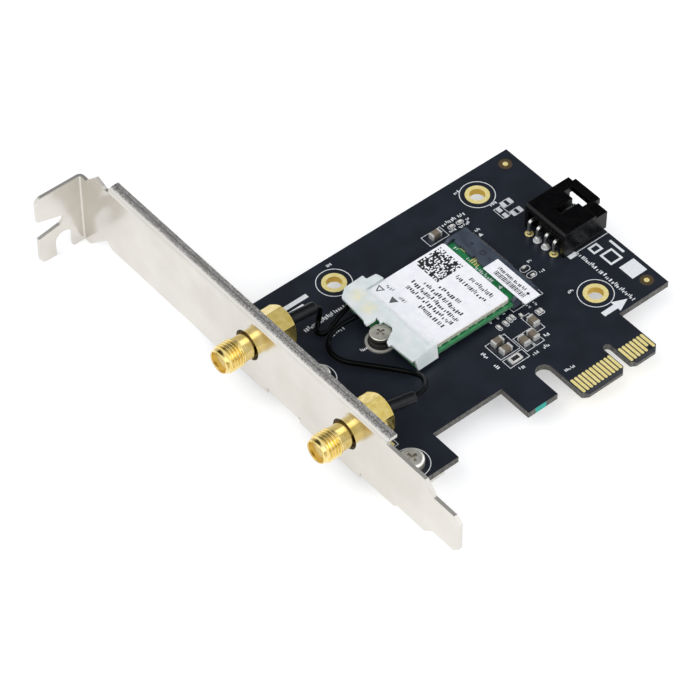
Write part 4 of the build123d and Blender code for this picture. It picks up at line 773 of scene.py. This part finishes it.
bm = bmesh.new()
ring = [bm.verts.new((x * MM, y * MM, CLIP_HIGH * MM)) for x, y in CLIP_FRONT + CLIP_OUTLINE]
plate = bm.faces.new(ring)
if plate.normal.z < 0:
    plate.normal_flip()
front = bm.edges.get(ring[:2])
foot = new_verts(bmesh.ops.extrude_edge_only(bm, edges=[front])["geom"])
foot.sort(key=lambda v: v.co.x)
for vert, (x, y) in zip(foot, CLIP_FRONT_FOOT):
    vert.co = Vector((x, y, CLIP_LOW + CLIP_FLANGE_END)) * MM
round_corners(bm, ring[CLIP_ROUND_CORNERS], CLIP_CORNER_R, 3)
clip = finish_mesh("plug_clip", bm)
wall = clip.modifiers.new("even_wall", "SOLIDIFY")
wall.thickness = CLIP_WALL * MM
wall.offset = -1
wall.use_even_offset = True
round_edges(clip, "moulded_edges", CLIP_EDGE_R).harden_normals = True
for face in clip.data.polygons:
    face.use_smooth = True
wear(clip, clip_milky)
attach(clip, "root")
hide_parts("module_clip")
print("clip spans", [round(v / MM, 1) for v in clip.dimensions])

# %% [markdown]
# The module's socket has a floor under the module's tongue and a jaw over it, with the
# slot between them open to the left. Its section is one profile, drawn once and pulled
# along the card. The jaw's lip steps back in places, so it is pulled in short runs.

# %% Socket
SOCKET_LOW, SOCKET_HIGH = (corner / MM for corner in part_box("socket_housing"))
SLOT_Z = (1.35, 2.36)
SLOT_DEPTH_X = -4.0
JAW_X = -6.3
TOP_BACK_X = -1.9
BACK_SLOPE_Z = 2.1
END_WALL = 0.8
# Each run of the jaw has its start and end in Y, and how far its lip steps back.
JAW_RUNS = [
    (27.4, 39.6, 0),
    (39.6, 41.1, 0.55),
    (41.1, 43.3, 0),
    (43.3, 45.0, 0.3),
    (45.0, 46.7, 0),
    (46.7, 47.4, 0.5),
]
END_SHOULDER = (1.1, 0.9)


def pull_profile(bm, profile, start_y, end_y):
    """A closed outline in X and Z, set upright and pulled along Y."""
    ring = [bm.verts.new((x * MM, start_y * MM, z * MM)) for x, z in profile]
    far = new_verts(bmesh.ops.extrude_face_region(bm, geom=[bm.faces.new(ring)])["geom"])
    bmesh.ops.translate(bm, verts=far, vec=(0, (end_y - start_y) * MM, 0))


base = [(SOCKET_LOW.x, SOCKET_LOW.z), (SOCKET_HIGH.x, SOCKET_LOW.z), (SOCKET_HIGH.x, BACK_SLOPE_Z)]
back = [(TOP_BACK_X, SOCKET_HIGH.z)]
bm = bmesh.new()
for low_y, high_y, step in JAW_RUNS:
    jaw = [(JAW_X + step, SOCKET_HIGH.z), (JAW_X + step, SLOT_Z[1]), (SLOT_DEPTH_X, SLOT_Z[1])]
    floor_lip = [(SLOT_DEPTH_X, SLOT_Z[0]), (SOCKET_LOW.x, SLOT_Z[0])]
    pull_profile(bm, base + back + jaw + floor_lip, low_y, high_y)
across, down = END_SHOULDER
shoulder = [(SOCKET_LOW.x + across, SOCKET_HIGH.z), (SOCKET_LOW.x, SOCKET_HIGH.z - down)]
for low_y in (SOCKET_LOW.y, SOCKET_HIGH.y - END_WALL):
    pull_profile(bm, base + back + shoulder, low_y, low_y + END_WALL)
socket = finish_mesh("slotted_socket", bm)
wear(socket, socket_grey)
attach(socket, "root")
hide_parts("socket_housing")
print("socket spans", [round(v / MM, 1) for v in socket.dimensions])

# %% [markdown]
# The jacks need real threads, since light runs along every crest. The solid part has a
# plain barrel at crest size, so a dressed jack replaces it: the hexagon is cut from a
# merged copy of the solid's own mesh, and the barrel is a profile with one V for each
# turn of thread, spun about the jack's axis.

# %% Jack barrel
THREAD_PITCH = 0.7056
THREAD_TURNS = 5
THREAD_FLAT = 0.1
THREAD_ROOT = 0.36
MOUTH_BEVEL = 0.16
LATHE_STEPS = 72
SHEET_BACK_X = -58.12
COLLAR_R = 2.8
CREST_R = 3.1
END_R = 2.7
END_L = 0.9
END_CHAMFER = 0.3
BORE_R = 2.3
BORE_L = 5.6
THREAD_L = 3.9
SOLID_WELD = 0.002
SEAM_WELD = 0.001


def barrel_profile(length):
    """Distance from the jack's front end and radius, in mm, from the bore round to the sheet."""
    points = [(BORE_L, 0.0), (BORE_L, BORE_R), (MOUTH_BEVEL, BORE_R), (0.0, BORE_R + MOUTH_BEVEL)]
    points += [(0.0, END_R - END_CHAMFER), (END_CHAMFER, END_R), (END_L, END_R)]
    start = END_L + (THREAD_L - THREAD_TURNS * THREAD_PITCH) / 2
    for turn in range(THREAD_TURNS):
        root = start + turn * THREAD_PITCH
        crest = root + THREAD_PITCH / 2
        points += [(root, CREST_R - THREAD_ROOT)]
        points += [(crest - THREAD_FLAT, CREST_R), (crest + THREAD_FLAT, CREST_R)]
    end = start + THREAD_TURNS * THREAD_PITCH
    points += [(end, CREST_R - THREAD_ROOT), (END_L + THREAD_L, COLLAR_R)]
    points += [(length, COLLAR_R), (length, 0.0)]
    return points


print("thread is", round(THREAD_TURNS * THREAD_PITCH, 2), "mm long")

# %% [markdown]
# A plane cuts the solid's barrel off, and a full spin of the profile takes its place.

# %% Jacks
def turned_jack(name, node):
    """A dressed jack in place of a node: its own hexagon and a barrel with a thread."""
    low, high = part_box(node)
    axis_y, axis_z = (low.y + high.y) / 2, (low.z + high.z) / 2
    bm = bmesh.new()
    bm.from_mesh(NODES[node].data)
    bmesh.ops.remove_doubles(bm, verts=bm.verts, dist=SOLID_WELD * MM)
    everything = bm.verts[:] + bm.edges[:] + bm.faces[:]
    bmesh.ops.bisect_plane(
        bm,
        geom=everything,
        plane_co=(SHEET_BACK_X * MM, 0, 0),
        plane_no=(-1, 0, 0),
        clear_outer=True,
    )
    bmesh.ops.holes_fill(bm, edges=[e for e in bm.edges if e.is_boundary], sides=0)
    hexagon_faces = len(bm.faces)
    length = SHEET_BACK_X - low.x / MM
    ring = [bm.verts.new((low.x + u * MM, axis_y, axis_z + r * MM)) for u, r in barrel_profile(length)]
    edges = [bm.edges.new(pair) for pair in zip(ring, ring[1:])]
    bmesh.ops.spin(
        bm,
        geom=ring + edges,
        cent=(low.x, axis_y, axis_z),
        axis=(1, 0, 0),
        angle=2 * pi,
        steps=LATHE_STEPS,
        use_merge=True,
    )
    bmesh.ops.remove_doubles(bm, verts=bm.verts, dist=SEAM_WELD * MM)
    piece = finish_mesh(name, bm)
    # The solid's own faces come in smooth, and turned metal has crisp edges.
    for face in piece.data.polygons:
        face.use_smooth = False
    wear(piece, jack_gold)
    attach(piece, "root")
    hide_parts(node)
    print(name, "faces", len(piece.data.polygons), "of them hexagon", hexagon_faces)
    return piece


turned_jack("threaded_jack_upper", "antenna_jack_upper")
turned_jack("threaded_jack_lower", "antenna_jack_lower")

# %% [markdown]
# Print on a circuit board is a layer of ink about a hundredth of a millimetre thick.
# Each mark starts as a flat face from a grid or a circle, an inset turns it into a
# frame or a ring, and one extrusion at the end gives the whole layer its thickness.
# Small lines of print are rows of plain bars, so nothing on the card can be read.

# %% Flat marks
INK_T = 0.012
FRAME_LINE = 0.13
CIRCLE_STEPS = 56
ROUND_END_SHARE = 0.45
# A bar's width, its height, how far it is lifted and the gap after it are shares of the
# line's height. A repeated share is drawn more often.
BAR_WIDTHS = (0.2, 0.26, 0.36)
BAR_HEIGHTS = (0.6, 0.9, 0.9)
BAR_LIFTS = (0.0, 0.0, 0.25)
BAR_GAPS = (0.16, 0.2, 0.24, 0.45)


def patch(bm, low_x, low_y, high_x, high_y):
    """A flat rectangle."""
    middle = Matrix.Translation(Vector((low_x + high_x, low_y + high_y, 0)) * MM / 2)
    size = Matrix.Diagonal((abs(high_x - low_x) * MM, abs(high_y - low_y) * MM, 1, 1))
    made = bmesh.ops.create_grid(bm, x_segments=1, y_segments=1, size=0.5, matrix=middle @ size)
    return made["verts"][0].link_faces[0]


def hollow(bm, face, width):
    """Leaves only the rim of a face."""
    bmesh.ops.inset_individual(bm, faces=[face], thickness=width * MM, use_even_offset=True)
    bmesh.ops.delete(bm, geom=[face], context="FACES")


def rectangle_frame(bm, low_x, low_y, high_x, high_y, width=FRAME_LINE):
    hollow(bm, patch(bm, low_x, low_y, high_x, high_y), width)


def disc(bm, x, y, radius, steps=CIRCLE_STEPS):
    place = Matrix.Translation(Vector((x, y, 0)) * MM)
    made = bmesh.ops.create_circle(bm, cap_ends=True, segments=steps, radius=radius * MM, matrix=place)
    return made["verts"][0].link_faces[0]


def ring_mark(bm, x, y, radius, width):
    hollow(bm, disc(bm, x, y, radius), width)


def rounded_patch(bm, low_x, low_y, high_x, high_y, radius=None):
    """A patch with round corners. With no radius given, its short ends are nearly half circles."""
    face = patch(bm, low_x, low_y, high_x, high_y)
    radius = radius or min(high_x - low_x, high_y - low_y) * ROUND_END_SHARE
    made = round_corners(bm, face.verts[:], radius, 4)
    return made["verts"][0].link_faces[0]


def capsule_frame(bm, x, y, long_side, short_side, along_x):
    half = Vector((long_side, short_side) if along_x else (short_side, long_side)) / 2
    hollow(bm, rounded_patch(bm, x - half.x, y - half.y, x + half.x, y + half.y), FRAME_LINE)


def bar_line(bm, x, y, length, height, along_x, seed):
    """A row of thin bars that stands for a line of small print."""
    dice = Random(seed)
    run = 0.0
    while run < length:
        stroke = height * dice.choice(BAR_WIDTHS)
        tall = height * dice.choice(BAR_HEIGHTS)
        lift = height * dice.choice(BAR_LIFTS)
        if along_x:
            patch(bm, x + run, y + lift, x + run + stroke, y + lift + tall)
        else:
            patch(bm, x + lift, y + run, x + lift + tall, y + run + stroke)
        run += stroke + height * dice.choice(BAR_GAPS)


def layer(name, bm, height_mm, material, thickness_mm=INK_T):
    """The flat faces of a bmesh, given a thickness, set at a height and made a piece."""
    top = new_verts(bmesh.ops.extrude_face_region(bm, geom=bm.faces[:])["geom"])
    bmesh.ops.translate(bm, verts=top, vec=(0, 0, thickness_mm * MM))
    bmesh.ops.translate(bm, verts=bm.verts, vec=(0, 0, height_mm * MM))
    piece = finish_mesh(name, bm)
    wear(piece, material)
    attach(piece, "root")
    print(name, "faces", len(piece.data.polygons))
    return piece


print("ink is", INK_T, "mm thick and its frames", FRAME_LINE, "mm wide")

# %% [markdown]
# The contacts of the component face end in half circles, near enough. Their places come
# from the solids: each island of linked points in the node's mesh is one contact.

# %% Rounded contacts
def island_boxes(mesh):
    """The lowest and highest X and Y of every island of a mesh, in mm."""
    bm = bmesh.new()
    bm.from_mesh(mesh)
    bmesh.ops.remove_doubles(bm, verts=bm.verts, dist=SEAM_WELD * MM)
    left = set(bm.verts)
    boxes = []
    while left:
        waiting = [left.pop()]
        island = waiting[:]
        while waiting:
            corners = {vert for edge in waiting.pop().link_edges for vert in edge.verts} & left
            left -= corners
            waiting.extend(corners)
            island.extend(corners)
        xs = [vert.co.x / MM for vert in island]
        ys = [vert.co.y / MM for vert in island]
        boxes.append((min(xs), min(ys), max(xs), max(ys)))
    bm.free()
    return sorted(boxes)


contact_low, contact_high = (corner.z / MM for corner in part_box("edge_contacts_top"))
contact_boxes = island_boxes(NODES["edge_contacts_top"].data)
bm = bmesh.new()
for corners in contact_boxes:
    rounded_patch(bm, *corners)
contact_t = contact_high - contact_low
contacts = layer("rounded_contacts", bm, contact_low, gold_plate, contact_t)
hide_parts("edge_contacts_top")
print("contacts:", len(contact_boxes))

# %% [markdown]
# The white print of the board: rings round every screw hole, frames round the small
# parts and the socket, a line beside the header, and an arrow beside the slot edge.

# %% Places of the board print
HOLE_RINGS = PLATED_HOLES + [(-50.05, 9.15), (-50.1, 37.9)]
HOLE_RING_R = 3.9
HOLE_RING_LINE = 0.17
# Frames and plain bars go from their lowest to their highest X and Y.
PART_FRAMES = [
    (-51.0, 14.4, -48.8, 16.6),
    (10.1, 49.3, 12.7, 51.1),
    (10.1, 46.2, 12.7, 47.9),
    (7.8, 47.1, 9.9, 50.4),
    (-9.1, 50.8, -3.9, 54.0),
    (-8.2, 26.05, 0.0, 49.4),
    (-18.8, 17.95, -13.5, 22.95),
    (-18.8, 15.05, -13.5, 17.6),
    (-13.2, 16.3, -10.9, 20.75),
    (-10.7, 16.3, -8.35, 20.75),
    (-8.1, 18.9, -5.9, 24.0),
]
# A capsule has its middle, its long side, its short side, and whether it lies along X.
PART_CAPSULES = [
    (-13.2, 24.8, 1.75, 1.0, False),
    (-11.4, 24.8, 1.75, 1.0, False),
    (-10.1, 25.1, 1.75, 1.0, False),
    (-9.2, 25.2, 1.75, 1.0, False),
    (-4.3, 22.8, 1.75, 1.0, False),
    (-3.5, 22.8, 1.75, 1.0, False),
    (-2.0, 52.4, 1.8, 1.1, True),
    (0.2, 52.3, 1.8, 1.1, True),
    (1.7, 33.6, 2.4, 1.6, True),
    (1.7, 31.5, 2.4, 1.6, True),
]
# A line of print has its start, its length, its height, and whether it runs along X.
PRINT_LINES = [
    (-44.0, 49.0, 10.6, 1.0, True),
    (-42.2, 46.3, 4.2, 0.8, True),
    (-41.6, 44.6, 4.4, 1.0, True),
    (-38.7, 37.6, 1.3, 0.8, True),
    (12.6, 12.9, 17.2, 1.0, False),
    (-10.8, 7.1, 2.6, 0.7, True),
    (4.6, 58.9, 1.3, 0.8, True),
    (4.0, 22.6, 1.3, 0.8, True),
    (-29.2, 60.0, 1.3, 0.8, True),
    (8.2, 51.4, 1.6, 0.8, True),
    (-3.4, 53.5, 1.8, 0.8, True),
    (-1.4, 53.4, 1.6, 0.8, True),
    (0.9, 53.2, 1.4, 0.8, True),
    (-3.3, 51.0, 1.3, 0.7, True),
    (-0.9, 50.7, 2.6, 0.7, True),
    (1.6, 51.6, 0.9, 0.7, True),
    (0.9, 47.9, 1.2, 0.7, True),
    (3.4, 34.4, 1.0, 0.7, True),
    (3.4, 30.6, 1.0, 0.7, True),
    (-20.9, 20.2, 1.4, 0.8, False),
    (-20.9, 16.6, 1.4, 0.8, False),
    (-17.4, 13.4, 1.3, 0.8, True),
    (-12.8, 14.6, 1.3, 0.8, True),
    (-9.9, 14.6, 1.3, 0.8, True),
    (-7.6, 16.8, 1.2, 0.8, True),
    (-13.9, 26.6, 1.0, 0.7, False),
    (-12.1, 26.6, 1.0, 0.7, False),
    (-10.4, 26.9, 1.0, 0.7, False),
    (-5.0, 24.9, 1.0, 0.7, False),
    (-3.4, 24.6, 1.0, 0.7, False),
]
PLAIN_BARS = [
    (-44.2, 56.2, -37.4, 57.3),
    (-44.2, 54.4, -39.6, 55.5),
    (16.8, 17.3, 20.9, 21.4),
    (20.3, 24.0, 20.9, 28.3),
    (10.7, 29.5, 12.9, 30.6),
    (12.9, 30.1, 21.9, 30.27),
]
print("frames:", len(PART_FRAMES + PART_CAPSULES), "lines of small print:", len(PRINT_LINES))

# %% [markdown]
# All of it goes into one bmesh, so that the print is one layer of ink.

# %% Board print
QUIET_MARKS = [(16.0, 22.9, 19.4, 26.5), (15.4, 27.4, 18.0, 29.6)]
QUIET_LINE = 0.5
PIN_ONE_MARK = (1.1, 46.7, 0.62)
ARROW_TAIL_X = 5.4
ARROW_HEAD_X = 8.9
ARROW_TIP_X = 12.2
ARROW_Y = 13.9
ARROW_SHAFT = 1.3
ARROW_HEAD = 3.0

bm = bmesh.new()
for x, y in HOLE_RINGS:
    ring_mark(bm, x, y, HOLE_RING_R, HOLE_RING_LINE)
for corners in PART_FRAMES:
    rectangle_frame(bm, *corners)
for place in PART_CAPSULES:
    capsule_frame(bm, *place)
for seed, line in enumerate(PRINT_LINES):
    bar_line(bm, *line, seed)
for corners in PLAIN_BARS:
    patch(bm, *corners)
disc(bm, *PIN_ONE_MARK, 3)
for corners in QUIET_MARKS:
    rectangle_frame(bm, *corners, QUIET_LINE)
patch(bm, ARROW_TAIL_X, ARROW_Y - ARROW_SHAFT / 2, ARROW_HEAD_X, ARROW_Y + ARROW_SHAFT / 2)
head = patch(bm, ARROW_HEAD_X, ARROW_Y - ARROW_HEAD / 2, ARROW_TIP_X, ARROW_Y + ARROW_HEAD / 2)
tips = [v for v in head.verts if v.co.x > (ARROW_HEAD_X + ARROW_TIP_X) / 2 * MM]
bmesh.ops.pointmerge(bm, verts=tips, merge_co=Vector((ARROW_TIP_X, ARROW_Y, 0)) * MM)
layer("board_print", bm, 0.0, print_ink)

# %% [markdown]
# Round each alignment dot the mask is left open, so bare laminate shows as a brown halo.

# %% Mask windows
ALIGNMENT_DOTS = [(18.8, 58.9), (18.8, 15.2)]
WINDOW_R = 1.5
WINDOW_W = 0.88
WINDOW_T = 0.008

bm = bmesh.new()
for x, y in ALIGNMENT_DOTS:
    ring_mark(bm, x, y, WINDOW_R, WINDOW_W)
layer("mask_windows", bm, 0.0, bare_laminate, WINDOW_T)

# %% [markdown]
# The shield can reaches a little further over the module than the solid one does, as
# far as its label shows in the photograph. Both have round corners.

# %% Shield can and label
CAN_LOW, CAN_HIGH = (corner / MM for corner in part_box("shield_can"))
CAN_FRONT_REACH = 0.45
CAN_RIGHT_REACH = 0.4
CAN_REAR_REACH = 0.3
CAN_FRONT_Y = CAN_LOW.y - CAN_FRONT_REACH
CAN_RIGHT_X = CAN_HIGH.x + CAN_RIGHT_REACH
CAN_REAR_Y = CAN_HIGH.y + CAN_REAR_REACH
CAN_CORNER_R = 0.6
CAN_TOP_R = 0.18
LABEL_INSET = 0.12
LABEL_LOW, LABEL_HIGH = (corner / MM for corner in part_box("module_label"))

bm = bmesh.new()
rounded_patch(bm, CAN_LOW.x, CAN_FRONT_Y, CAN_RIGHT_X, CAN_REAR_Y, CAN_CORNER_R)
can = layer("drawn_can", bm, CAN_LOW.z, tinplate, CAN_HIGH.z - CAN_LOW.z)
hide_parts("shield_can")
round_edges(can, "drawn_edges", CAN_TOP_R)

bm = bmesh.new()
front_left = (LABEL_LOW.x, CAN_FRONT_Y + LABEL_INSET)
rear_right = (CAN_RIGHT_X - LABEL_INSET, CAN_REAR_Y - LABEL_INSET)
rounded_patch(bm, *front_left, *rear_right, CAN_CORNER_R)
label_t = LABEL_HIGH.z - LABEL_LOW.z
paper = layer("module_label_sheet", bm, LABEL_LOW.z, label_paper, label_t)
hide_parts("module_label")

# %% [markdown]
# The module's label has lines of bars, a block of random dark cells as a printed code
# has, and two small triangles that end up under the milky clip.

# %% Module label print
LABEL_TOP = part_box("module_label")[1].z / MM
# A line has its start, its length and its height. All of them run up the card.
LABEL_LINES = [
    (-11.5, 29.7, 6.7, 1.05),
    (-13.3, 29.7, 8.7, 1.05),
    (-17.7, 32.7, 5.6, 1.05),
    (-19.6, 29.9, 11.2, 1.05),
    (-21.2, 29.2, 13.8, 1.05),
    (-22.8, 29.3, 14.0, 1.05),
    (-24.4, 29.9, 7.2, 1.05),
    (-25.7, 43.9, 1.7, 0.8),
    (-25.8, 39.8, 2.0, 0.8),
]
CODE_CORNER = (-16.9, 39.8)
CODE_CELLS = 22
CODE_CELL = 0.32
CODE_DARK_SHARE = 0.56
LABEL_TRIANGLES = [(-27.0, 46.0, True), (-27.0, 41.8, False)]
TRIANGLE_R = 1.15
TRIANGLE_LINE = 0.26
LABEL_INK_T = 0.008

bm = bmesh.new()
for seed, line in enumerate(LABEL_LINES):
    bar_line(bm, *line, False, 100 + seed)
dice = Random(7)
for row in range(CODE_CELLS):
    for column in range(CODE_CELLS):
        if dice.random() < CODE_DARK_SHARE:
            x = CODE_CORNER[0] + column * CODE_CELL
            y = CODE_CORNER[1] + row * CODE_CELL
            patch(bm, x, y, x + CODE_CELL, y + CODE_CELL)
for x, y, open_middle in LABEL_TRIANGLES:
    face = disc(bm, x, y, TRIANGLE_R, 3)
    middle = Vector((x, y, 0)) * MM
    bmesh.ops.rotate(bm, verts=face.verts, cent=middle, matrix=Matrix.Rotation(pi / 2, 3, "Z"))
    if open_middle:
        hollow(bm, face, TRIANGLE_LINE)
layer("module_label_print", bm, LABEL_TOP, label_ink, LABEL_INK_T)

# %% [markdown]
# The socket's label is stuck on its top and runs out over its front end. A thin sheet
# does for it, and the bars of its code are one loop.

# %% Socket label
SOCKET_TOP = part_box("socket_housing")[1].z / MM
SOCKET_LABEL = (-6.9, 24.1, -2.8, 37.1)
SOCKET_LABEL_T = 0.07
SOCKET_LABEL_LIFT = 0.005
SOCKET_LABEL_Z = SOCKET_TOP + SOCKET_LABEL_LIFT
CODE_BARS_X = (-6.2, -5.0)
CODE_BARS_Y = (25.8, 34.8)
CODE_BAR_WIDTHS = (0.12, 0.18, 0.28)
CODE_BAR_GAPS = (0.16, 0.2)
SOCKET_LABEL_LINE = (-4.7, 27.0, 8.0, 0.8)
SOCKET_LABEL_DIAMOND = (-4.5, 25.9, 0.45)

bm = bmesh.new()
patch(bm, *SOCKET_LABEL)
sheet = layer("socket_label_sheet", bm, SOCKET_LABEL_Z, label_paper, SOCKET_LABEL_T)
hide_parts("socket_label")

bm = bmesh.new()
dice = Random(11)
run = CODE_BARS_Y[0]
while run < CODE_BARS_Y[1]:
    width = dice.choice(CODE_BAR_WIDTHS)
    patch(bm, CODE_BARS_X[0], run, CODE_BARS_X[1], run + width)
    run += width + dice.choice(CODE_BAR_GAPS)
bar_line(bm, *SOCKET_LABEL_LINE, False, 12)
disc(bm, *SOCKET_LABEL_DIAMOND, 4)
print_height = SOCKET_LABEL_Z + SOCKET_LABEL_T
layer("socket_label_print", bm, print_height, label_ink, LABEL_INK_T)

# %% [markdown]
# A few small marks are moulded into the socket's top, and the tips of its springs show
# as a fine dotted line along the back edge.

# %% Socket marks
MOULDED_MARK_T = 0.008
MOULDED_LINES = [(-4.0, 43.4, -3.8, 44.2), (-4.4, 43.7, -3.6, 43.9), (-4.1, 37.9, -3.9, 38.6)]
# Each ring has its middle, its radius and the width of its line.
MOULDED_RINGS = [(-3.97, 40.4, 0.75, 0.2), (-3.97, 40.4, 0.35, 0.12)]
FIRST_TIP_Y = 27.4
SPRING_TIP_PITCH = 0.5
SPRING_TIPS = 40
SPRING_TIP_X = (TOP_BACK_X - 0.24, TOP_BACK_X - 0.12)
SPRING_TIP_W = 0.16

bm = bmesh.new()
for corners in MOULDED_LINES:
    patch(bm, *corners)
for ring in MOULDED_RINGS:
    ring_mark(bm, *ring)
layer("socket_marks", bm, SOCKET_TOP, chip_black, MOULDED_MARK_T)

bm = bmesh.new()
for tip in range(SPRING_TIPS):
    y = FIRST_TIP_Y + tip * SPRING_TIP_PITCH
    patch(bm, SPRING_TIP_X[0], y, SPRING_TIP_X[1], y + SPRING_TIP_W)
layer("socket_spring_tips", bm, SOCKET_TOP, tin, MOULDED_MARK_T)

# %% [markdown]
# The green strip of the module that shows beside its can carries a few white marks and
# small gold test pads.

# %% Module marks
MODULE_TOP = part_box("module_board")[1].z / MM
STRIP_ARROW = (-7.0, 31.5, 0.6)
STRIP_LINES = [(-7.55, 33.8, 5.2, 0.9), (-7.2, 45.2, 0.8, 0.8), (-7.2, 41.3, 0.8, 0.8)]
TEST_PADS_X = (-7.1, -6.0)
TEST_PADS_Y = (38.9, 39.5, 40.2, 40.8)
TEST_PAD_W = 0.3

bm = bmesh.new()
disc(bm, *STRIP_ARROW, 3)
for seed, line in enumerate(STRIP_LINES):
    bar_line(bm, *line, False, 20 + seed)
layer("module_print", bm, MODULE_TOP, print_ink)
bm = bmesh.new()
for y in TEST_PADS_Y:
    patch(bm, TEST_PADS_X[0], y, TEST_PADS_X[1], y + TEST_PAD_W)
layer("module_test_pads", bm, MODULE_TOP, gold_plate)
